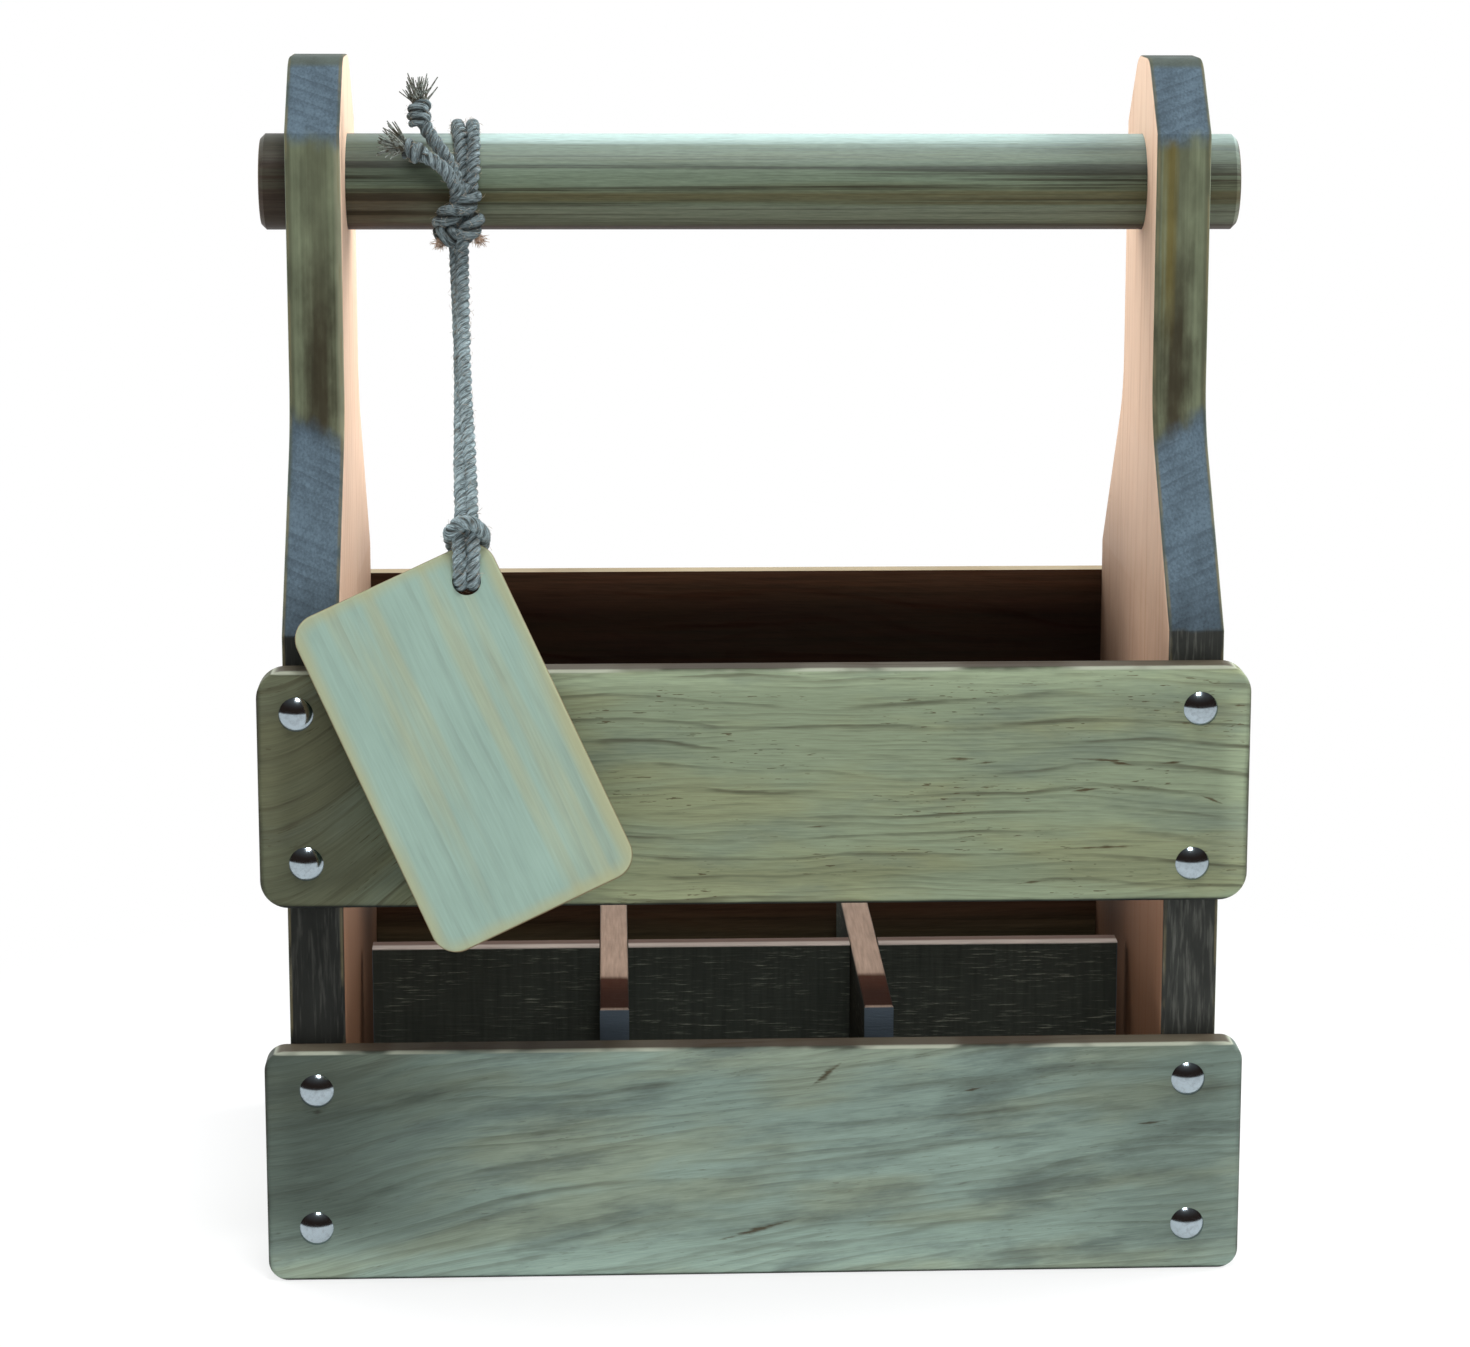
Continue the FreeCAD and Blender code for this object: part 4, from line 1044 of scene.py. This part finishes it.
def jute_finish():
    """Fibres run along each ply; painted shade darkens the valleys between plies."""
    material, wire = start_material("jute_finish")
    along = wire.node("ShaderNodeAttribute", {"attribute_name": "along"}, output="Fac") / MM
    section = wire.node("ShaderNodeAttribute", {"attribute_name": "section"}, output="Vector")
    across = wire.node("ShaderNodeSeparateXYZ", None, {0: section})
    fibre = noise(along / 1.5, across * 5.0, across.other("Y") * 4.2, 3.0, 0.65)
    patch = noise(along / 1.2, across * 1.6, across.other("Y") * 1.6 + 4.0, 2.0)
    valley_shade = fall(across.other("Z"), 0.0, 0.80)
    colour = mix(rise(fibre, 0.40, 0.68), JUTE_GREY, JUTE_PALE)
    colour = mix(rise(patch, 0.52, 0.70) * 0.34, colour, JUTE_BROWN)
    colour = mix(fall(fibre, 0.32, 0.48) * 0.75, colour, JUTE_DARK)
    # Painted shade in the valleys between plies.
    colour = mix(valley_shade * 0.76, colour, JUTE_DARK)
    z = millimetres(wire)[2]
    # Handling and painted shade darken knot and turns; a painted shadow lies under the knot.
    handled_and_shaded = rise(z, *KNOT_SHADOW_START) * (KNOT_SHADE - 1)
    handled_and_shaded = handled_and_shaded + rise(z, *TURNS_ABOVE) * (TURNS_SHADE - KNOT_SHADE)
    gripped = fall(z, *HITCH_BELOW) * (HITCH_SHADE - 1)
    colour = shade(colour, handled_and_shaded + gripped + 1.0)
    finish_material(material, colour, fibre * 0.1 + 0.82, fibre + patch * 0.4, 0.55)
    return material


jute = jute_finish()

# %% [markdown]
# The rope tree turns a line into plies. Each ply is a copy of the line, pushed out by a turning
# offset that is built from the line's own normal and tangent. Two attributes go with the mesh for
# the finish: the length along the cord, and the place round the ply, whose third number tells the
# cord's outside from the valley between plies.

# %% Rope tree
SWAY_RATE = 160.0
LUMP_RATE = 420.0
PLY_SIDES = 12


def store(given, shape, name, kind, value):
    """Keep a value on every point of a shape under a name."""
    return given.node("GeometryNodeStoreNamedAttribute", {"data_type": kind, "domain": "POINT"},
                      {"Geometry": shape, "Name": name, "Value": value})


def rope_tree():
    tree, given = start_tree("twisted_cord", {
        "Plies": "Int", "Ply Radius": "Float", "Lay Radius": "Float", "Lay Length": "Float",
        "Step": "Float", "Looseness": "Float", "Seed": "Float"})
    line = given.node("GeometryNodeMeshToCurve", None, {"Mesh": given.other("Geometry")})
    line = given.node("GeometryNodeResampleCurve", {"mode": "LENGTH"},
                      {"Curve": line, "Length": given.other("Step")})
    copies = given.node("GeometryNodeDuplicateElements", {"domain": "SPLINE"},
                        {"Geometry": line, "Amount": given.other("Plies")})
    along = given.node("GeometryNodeSplineParameter", output="Length")
    share = copies.other("Duplicate Index") / given.other("Plies")
    sway = noise(along * SWAY_RATE, share * 9.0, given.other("Seed"), 2.0) - 0.5
    turns = along / given.other("Lay Length") + share + sway * given.other("Looseness") * 0.5
    angle = turns * (2 * math.pi)
    reach = given.other("Lay Radius") * (sway * given.other("Looseness") * 1.4 + 1.0)
    tangent = given.node("GeometryNodeInputTangent")
    normal = given.node("GeometryNodeInputNormal")
    side = tangent.vector("CROSS_PRODUCT", {1: normal})
    parts = [way.vector("SCALE", {"Scale": amount * reach})
             for way, amount in ((normal, angle.math("COSINE")), (side, angle.math("SINE")))]
    offset = parts[0].vector("ADD", {1: parts[1]})
    strands = store(given, copies, "along", "FLOAT", along + share * 0.31)
    strands = store(given, strands, "outward", "FLOAT_VECTOR", offset)
    outward = given.node("GeometryNodeInputNamedAttribute", {"data_type": "FLOAT_VECTOR"},
                         {"Name": "outward"})
    strands = given.node("GeometryNodeSetPosition", None, {"Geometry": strands, "Offset": outward})
    ring = given.node("GeometryNodeCurvePrimitiveCircle", None,
                      {"Resolution": PLY_SIDES, "Radius": given.other("Ply Radius")})
    lumps = noise(along * LUMP_RATE, share * 5.0, given.other("Seed") + 3.0, 2.0) * 0.7 + 0.65
    mesh = given.node("GeometryNodeCurveToMesh", None,
                      {"Curve": strands, "Profile Curve": ring, "Scale": lumps, "Fill Caps": True})
    surface = given.node("GeometryNodeInputNormal")
    facing = outward.vector("NORMALIZE").vector("DOT_PRODUCT", {1: surface}, "Value")
    turn = facing.math("MINIMUM", 1.0).math("MAXIMUM", -1.0).math("ARCCOSINE")
    section = given.node("ShaderNodeCombineXYZ", None, {0: turn, 1: share * 7.0, 2: facing})
    end_tree(given, store(given, mesh, "section", "FLOAT_VECTOR", section))
    return tree


rope = rope_tree()
print(rope.name, "nodes", len(rope.nodes))

# %% [markdown]
# Every length of cord is twisted by the same function, which needs a route, a thickness and how
# tightly the plies are laid. The plies stand a little proud of the firm cord, as fluffy jute does.

# %% Twist a cord
PLIES = 3
PLY_SHARE = 0.53
LAY_SHARE = 0.52
PLY_STEP = 0.6
LOOSE_DIAMETER = 4.5


def on_cord(piece):
    """Let a piece swing with the cord, as jute."""
    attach(piece, "tag_cord")


def twist(name, route, diameter, lay_length, looseness, seed):
    """A twisted cord along a route of control points, and the line that it follows."""
    line = smooth_line(f"{name}_route", route)
    radius = diameter * MM / 2
    piece = grow(name, vertex_mesh(f"{name}_line", line, joined=True), rope, {
        "Plies": PLIES, "Ply Radius": radius * PLY_SHARE, "Lay Radius": radius * LAY_SHARE,
        "Lay Length": lay_length * MM, "Step": PLY_STEP * MM, "Looseness": looseness, "Seed": seed,
        "Material": jute})
    on_cord(piece)
    print(name, "length", round(line_length(line), 4))
    return piece, line


# %% [markdown]
# The first cord starts in the knot, goes up and nearly twice round the handle, comes back under it
# into the knot and leaves as the tall tail. The turns come from a loop; the tail's points are
# listed. A NURBS line cuts inside its control points, so those of the turns stand a little further
# out.

# %% Lay the turns and the tall tail
TURNS_HEAD = ((3.2, -0.4, 3.0), (4.6, 1.2, 10.0))
TALL_TAIL = ((-3.0, 4.5, -4.0), (-1.0, 0.5, 0.0), (0.6, -0.6, 8.6), (-1.8, 0.6, 15.8),
             (-5.6, 2.2, 22.2), (-10.6, 3.6, 28.4), (-12.3, 4.4, 34.0))
TURN_GATHER = 1.2
TURN_SLACK = 0.35


def turn_points():
    step = (TURNS_END - TURNS_START) / TURN_SPANS
    control_radius = (TURN_RADIUS + TURN_SLACK) / math.cos(math.radians(step) / 2)
    points = []
    for index in range(TURN_SPANS + 1):
        degrees = TURNS_START + step * index
        angle = math.radians(degrees)
        x = FIRST_TURN_X - TURN_PITCH * (degrees - TURNS_START) / 360
        gather = TURN_GATHER * max(0.0, math.cos(angle)) if 270 < degrees < 450 else 0.0
        points.append(Vector((x + gather, -control_radius * math.cos(angle),
                              DOWEL_HEIGHT + control_radius * math.sin(angle))))
    return points


turns_route = [from_knot(*point) for point in TURNS_HEAD] + turn_points()
turns_route += [from_knot(*point) for point in TALL_TAIL]
turns_cord, turns_line = twist("handle_turns", turns_route, LOOSE_DIAMETER,
                               lay_length=9.5, looseness=0.14, seed=1.5)

# %% [markdown]
# The second cord also starts in the knot. It runs down to the tag, through the hitch and up again
# beside itself, passes the knot and leaves as the low tail. Half of the hitch is written out, seen
# from the tag's hole, and the other half mirrors it.

# %% Lay the hanging strands, the hitch and the low tail
HITCH_HALF = ((1.5, 20.4, 1.2), (2.3, 13.0, 5.6), (1.9, -0.9, 5.3), (1.9, -0.9, -5.3),
              (4.4, 11.2, -6.6), (5.4, 15.0, -1.4), (5.0, 15.2, 7.0), (2.2, 17.8, 9.2))
LOW_TAIL = ((-1.2, -2.0, 1.2), (0.2, -4.2, 8.2), (-2.8, -5.2, 14.8), (-8.6, -4.8, 19.6),
            (-14.0, -4.0, 21.3))
STRAND_TOPS = {1: (1.1, -2.6, -5.0), -1: (-1.1, 1.0, -5.0)}
STRAND_MIDDLES = {1: Vector((-92.7, -58.4, 292.4)), -1: Vector((-93.4, -54.0, 289.6))}


def strand(side):
    """Control points from the knot down one strand to the middle of the hitch."""
    top = from_knot(*STRAND_TOPS[side])
    hitch = [on_tag(side * right, up, out) for right, up, out in HITCH_HALF]
    heading = (top - hitch[0]).normalized()
    near = hitch[0] + heading * (CORD_DIAMETER * 2)
    return [top, STRAND_MIDDLES[side], hitch[0] + heading * (CORD_DIAMETER * 6), near, *hitch]


hanging_route = strand(1) + strand(-1)[::-1] + [from_knot(*point) for point in LOW_TAIL]
hanging_cord, hanging_line = twist("hanging_strands", hanging_route, LOOSE_DIAMETER,
                                   lay_length=8.5, looseness=0.16, seed=6.2)

# %% [markdown]
# ## Knots
# A knot is the same cord, bent hard round itself. The big one ties both cords together and is laid
# with a thicker rope, because each lobe holds two strands. Each tail ends in a small stopper knot:
# nearly two turns round the tail, a little askew.

# %% Tie the knots
KNOT_LOBES = ((1.6, 2.4, 7.4), (5.0, 0.2, 7.2), (3.2, -3.4, 4.6), (-2.6, -3.8, 1.4),
              (-5.8, -0.6, -1.6), (-3.0, 3.0, -2.0), (2.6, 3.2, -0.6), (5.6, 0.4, -0.8),
              (4.6, -3.2, -3.6), (-0.6, -3.8, -7.0), (-5.2, -2.2, -5.4), (-5.0, 1.4, -3.6),
              (-0.8, 2.8, -5.6))
KNOT_CORD = 6.8
STOPPER_POINTS = 12
STOPPERS = {
    "tall_stopper": {"centre": Vector((-107.3, -20.6, 370.6)),
                     "heading": Vector((-0.05, 0.15, 1.0)), "cord": 4.5, "radius": 2.0,
                     "pitch": 3.7, "turns": 1.75, "askew": 1.1, "fray_seed": 40},
    "low_stopper": {"centre": Vector((-108.8, -28.8, 359.0)),
                    "heading": Vector((-1.0, 0.1, 0.40)), "cord": 4.3, "radius": 1.5,
                    "pitch": 3.9, "turns": 1.75, "askew": 0.9, "fray_seed": 49},
}


def stopper_route(knot):
    """Turns round a tail, each lifted on one side."""
    turn = knot["heading"].to_track_quat("Z", "Y")
    route = []
    for index in range(int(knot["turns"] * STOPPER_POINTS) + 1):
        share = index / STOPPER_POINTS
        angle = 2 * math.pi * share
        height = knot["pitch"] * (share - knot["turns"] / 2) + knot["askew"] * math.sin(angle)
        ring = Vector((math.cos(angle), math.sin(angle), 0)) * knot["radius"]
        route.append(knot["centre"] + turn @ (ring + Vector((0, 0, height))))
    return route


knot_route = [from_knot(*point) for point in KNOT_LOBES]
main_knot, _ = twist("main_knot", knot_route, KNOT_CORD, lay_length=17.0, looseness=0.16, seed=2.4)
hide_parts("cord_knot")
stoppers = []
for stopper_name, knot in STOPPERS.items():
    stopper, _ = twist(stopper_name, stopper_route(knot), knot["cord"],
                       lay_length=10.0, looseness=0.14, seed=3.1)
    stoppers.append(stopper)
    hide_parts("tail_knots")

# %% [markdown]
# ## Frayed ends and loose hairs
# Jute is hairy. Beyond each stopper the cord opens into a brush of yarn ends, two tufts of fluff
# stick out under the big knot, and fine hairs stand off the strands. One tree fans bent yarns out
# of a cluster of roots; another scatters short hairs over a rope's mesh.

# %% Fray tree
YARN_POINTS = 6
YARN_SIDES = 5


def random_number(given, least, most, step):
    return given.node("FunctionNodeRandomValue", {"data_type": "FLOAT"},
                      {2: least, 3: most, "Seed": given.other("Seed") + step}, 1)


def random_way(given, step):
    return given.node("FunctionNodeRandomValue", {"data_type": "FLOAT_VECTOR"},
                      {0: (-1.0, -1.0, -1.0), 1: (1.0, 1.0, 1.0),
                       "Seed": given.other("Seed") + step})


def bent_fibre(given, points, middle, end):
    """A curve from the origin, bent towards its middle point and scaled by the tree's length."""
    line = given.node("GeometryNodeCurveQuadraticBezier", None, {
        "Resolution": points, "Start": (0.0, 0.0, 0.0), "Middle": middle, "End": end})
    scale = given.node("ShaderNodeCombineXYZ", None, dict.fromkeys(range(3), given.other("Length")))
    return given.node("GeometryNodeTransform", None, {"Geometry": line, "Scale": scale})


def fray_tree():
    tree, given = start_tree("frayed_end", {
        "Count": "Int", "Length": "Float", "Spread": "Float", "Disc": "Float",
        "Yarn Radius": "Float", "Heading": "Vector", "Seed": "Int"})
    place = random_way(given, 0).vector("SCALE", {"Scale": given.other("Disc")})
    root = given.node("GeometryNodePoints", None,
                      {"Count": given.other("Count"), "Position": place})
    astray = random_way(given, 1).vector("SCALE", {"Scale": given.other("Spread")})
    way = given.other("Heading").vector("ADD", {1: astray})
    aim = given.node("FunctionNodeAlignRotationToVector", {"axis": "Z"}, {"Vector": way})
    yarn = bent_fibre(given, YARN_POINTS, (0.0, 0.12, 0.55), (0.0, -0.10, 1.0))
    taper = 1.15 - given.node("GeometryNodeSplineParameter", output="Factor") * 0.6
    ring = given.node("GeometryNodeCurvePrimitiveCircle", None,
                      {"Resolution": YARN_SIDES, "Radius": given.other("Yarn Radius")})
    mesh = given.node("GeometryNodeCurveToMesh", None,
                      {"Curve": yarn, "Profile Curve": ring, "Scale": taper, "Fill Caps": True})
    tuft = given.node("GeometryNodeInstanceOnPoints", None,
                      {"Points": root, "Instance": mesh, "Rotation": aim,
                       "Scale": random_number(given, 0.6, 1.1, 2)})
    end_tree(given, tuft)
    return tree


frayed = fray_tree()
print(frayed.name, "nodes", len(frayed.nodes))

# %% [markdown]
# Yarn ends are stiff and dark; fluff is short, fine and pinkish brown. Both are brushes from the
# same tree, so only a row of sizes and two colours differ.

# %% Fray the tails and fluff the big knot
YARN_PALE = paint(0.255, 0.285, 0.262)
YARN_DARK = paint(0.078, 0.072, 0.054)
FLUFF_PALE = paint(0.52, 0.38, 0.28)
FLUFF_DARK = paint(0.24, 0.16, 0.11)
FRAY_LOOK = {"Count": 64, "Length": 8.6 * MM, "Spread": 0.62, "Disc": 1.6 * MM,
             "Yarn Radius": 0.33 * MM}
FLUFF_LOOK = {"Count": 90, "Length": 2.8 * MM, "Spread": 1.5, "Disc": 1.3 * MM,
              "Yarn Radius": 0.10 * MM}
FLUFFS = {"knot_fluff_1": {"place": (6.6, -2.6, -6.6), "seed": 90},
          "knot_fluff_2": {"place": (-5.6, -2.8, -8.0), "seed": 97}}
FRAY_SINK = 3.2


def fibre_finish(name, pale, dark):
    material, wire = start_material(name)
    x, y, z = millimetres(wire)
    tone = noise(x / 1.4, y / 1.4, z / 1.4, 2.0)
    finish_material(material, mix(rise(tone, 0.35, 0.65), dark, pale), tone * 0.1 + 0.85)
    return material


def brush(name, root, heading, look, seed, material):
    """A tuft of fibres that points along a heading, with its roots at a place in millimetres."""
    values = {**look, "Heading": heading, "Seed": seed, "Material": material}
    tuft = grow(name, vertex_mesh(f"{name}_root", [root * MM]), frayed, values)
    tuft.data.transform(Matrix.Translation(root * MM))
    on_cord(tuft)
    return tuft


yarn_finish = fibre_finish("yarn_finish", YARN_PALE, YARN_DARK)
for stopper_name, knot in STOPPERS.items():
    heading = knot["heading"].normalized()
    root = knot["centre"] + heading * FRAY_SINK
    fray = brush(stopper_name.replace("stopper", "fray"), root, heading, FRAY_LOOK,
                 knot["fray_seed"], yarn_finish)
    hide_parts("tail_frays")
fluff_finish = fibre_finish("fluff_finish", FLUFF_PALE, FLUFF_DARK)
fluffs = [brush(name, from_knot(*tuft["place"]), Vector(tuft["place"]).normalized(), FLUFF_LOOK,
                tuft["seed"], fluff_finish) for name, tuft in FLUFFS.items()]

# %% [markdown]
# Hairs left as curves would be lost when the plain mesh is kept, so each is a thin tube. The tree
# scatters them over a rope's own mesh and turns each at random about the normal.

# %% Scatter loose hairs
HAIR_POINTS = 4
HAIR_SIDES = 3
HAIR_PALE = paint(0.52, 0.46, 0.38)
HAIR_DARK = paint(0.30, 0.24, 0.17)
HAIR_SEED = 70
HAIR_LOOK = {"Density": 1.5e5, "Length": 1.9 * MM, "Hair Radius": 0.045 * MM}


def hair_tree():
    tree, given = start_tree("loose_hairs", {
        "Density": "Float", "Length": "Float", "Hair Radius": "Float", "Seed": "Int"})
    spots = given.node("GeometryNodeDistributePointsOnFaces", None, {
        "Mesh": given.other("Geometry"), "Density": given.other("Density"),
        "Seed": given.other("Seed")})
    hair = bent_fibre(given, HAIR_POINTS, (0.5, 0.0, 0.35), (1.0, 0.0, 0.25))
    ring = given.node("GeometryNodeCurvePrimitiveCircle", None,
                      {"Resolution": HAIR_SIDES, "Radius": given.other("Hair Radius")})
    mesh = given.node("GeometryNodeCurveToMesh", None, {"Curve": hair, "Profile Curve": ring})
    angle = random_number(given, 0.0, 2 * math.pi, 1)
    about = given.node("FunctionNodeAxisAngleToRotation", None,
                       {"Axis": (0.0, 0.0, 1.0), "Angle": angle})
    turn = given.node("FunctionNodeRotateRotation", {"rotation_space": "LOCAL"},
                      {"Rotation": spots.other("Rotation"), "Rotate By": about})
    hairs = given.node("GeometryNodeInstanceOnPoints", None,
                       {"Points": spots, "Instance": mesh, "Rotation": turn,
                        "Scale": random_number(given, 0.4, 1.2, 2)})
    end_tree(given, hairs)
    return tree


hairy = hair_tree()
hair_finish = fibre_finish("hair_finish", HAIR_PALE, HAIR_DARK)
for index, owner in enumerate((turns_cord, hanging_cord, main_knot, *stoppers)):
    values = {**HAIR_LOOK, "Seed": HAIR_SEED + index, "Material": hair_finish}
    on_cord(grow(f"{owner.name}_hairs", owner.data.copy(), hairy, values))

# %% [markdown]
# Both cords leave the big knot, and both end in a stopper knot.

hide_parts("cord_turns", "cord_tails")
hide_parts("cord_drop", "tag_hitch")
print("cord in all", round(line_length(turns_line) + line_length(hanging_line), 3), "m")

# %% [markdown]
# ## Floor and light
# The photograph has a white ground with only a thin shadow under the caddy. The floor is white for
# the camera through its ray type, and keeps part of its real shading so that the shadow stays. The
# room is bright behind but dim in front and above, which is what the polished domes mirror.

# %% Make the floor
FLOOR_SIZE = 6.0
FLOOR_PAINT = paint(0.88, 0.89, 0.90)
FLOOR_ROUGHNESS = 0.9
WHITE = paint(1.0, 1.0, 1.0)
SHADOW_SHARE = 0.30
SHADOW_END = (180.0, 420.0)


def make_floor():
    half = FLOOR_SIZE / 2
    corners = [(-half, -half, 0), (half, -half, 0), (half, half, 0), (-half, half, 0)]
    mesh = bpy.data.meshes.new("floor")
    mesh.from_pydata(corners, [], [(0, 1, 2, 3)])
    floor = bpy.data.objects.new("floor", mesh)
    scene.collection.objects.link(floor)
    material, wire = start_material("white_floor")
    tree = material.node_tree
    shader = tree.nodes["Principled BSDF"]
    shader.inputs["Base Color"].default_value = FLOOR_PAINT
    shader.inputs["Roughness"].default_value = FLOOR_ROUGHNESS
    glow = wire.node("ShaderNodeEmission", None, {"Color": WHITE, "Strength": 1.0})
    path = wire.node("ShaderNodeLightPath")
    seen = path.math("MAXIMUM", path.other("Is Glossy Ray"))
    seen = seen.math("MAXIMUM", path.other("Is Transmission Ray"))
    x, y, _ = millimetres(wire)
    away = (x * x + y * y).math("SQRT")
    whiteness = rise(away, *SHADOW_END) * SHADOW_SHARE + (1 - SHADOW_SHARE)
    both = wire.node("ShaderNodeMixShader", None,
                     {0: seen * whiteness, 1: Wire(tree, shader.outputs[0]), 2: glow})
    tree.links.new(both.socket, tree.nodes["Material Output"].inputs["Surface"])
    mesh.materials.append(material)
    print("floor", FLOOR_SIZE, "m")


make_floor()

# %% [markdown]
# Four soft boxes stand where a studio would put them: a small key above, a weak fill in front, and
# one on each side. Only the key shows in the polished domes.

# %% Light the room
DARK_ROOM = paint(0.040, 0.026, 0.021)
CEILING = paint(0.10, 0.10, 0.10)
BACKDROP = paint(0.96, 0.98, 1.0)
CEILING_START = (0.35, 0.95)
BACKDROP_START = (0.14, 0.46)
LAMPS = {
    "key_box": {"place": (0.05, -0.62, 1.75), "aim_height": 0.2, "size": 0.4, "power": 20.0},
    "front_box": {"place": (0.25, -1.9, 0.9), "aim_height": 0.2, "size": 1.2, "power": 12.0},
    "right_box": {"place": (1.3, 0.35, 0.75), "aim_height": 0.25, "size": 0.9, "power": 31.0},
    "left_box": {"place": (-1.3, 0.45, 0.75), "aim_height": 0.25, "size": 0.9, "power": 17.0},
}
MIRRORED_LAMP = "key_box"


def light_room():
    world = bpy.data.worlds.new("white_room")
    scene.world = world
    world.use_nodes = True
    tree = world.node_tree
    wire = Wire(tree)
    ray = wire.node("ShaderNodeTexCoord", output="Generated")
    x = wire.node("ShaderNodeSeparateXYZ", None, {0: ray})
    front = mix(rise(x.other("Z"), *CEILING_START), DARK_ROOM, CEILING)
    room = mix(rise(x.other("Y"), *BACKDROP_START), front, BACKDROP)
    colour = mix(wire.node("ShaderNodeLightPath"), room, WHITE)
    tree.links.new(colour.socket, tree.nodes["Background"].inputs["Color"])


def set_lamp(name, look):
    data = bpy.data.lights.new(name, "AREA")
    data.size = look["size"]
    data.energy = look["power"]
    lamp = bpy.data.objects.new(name, data)
    place = Vector(look["place"])
    target = Vector((0, 0, look["aim_height"]))
    aim = (target - place).to_track_quat("-Z", "Y")
    lamp.matrix_world = Matrix.Translation(place) @ aim.to_matrix().to_4x4()
    lamp.visible_glossy = name == MIRRORED_LAMP
    scene.collection.objects.link(lamp)
    print(name, look["power"], "W")


light_room()
for lamp_name, lamp_look in LAMPS.items():
    set_lamp(lamp_name, lamp_look)
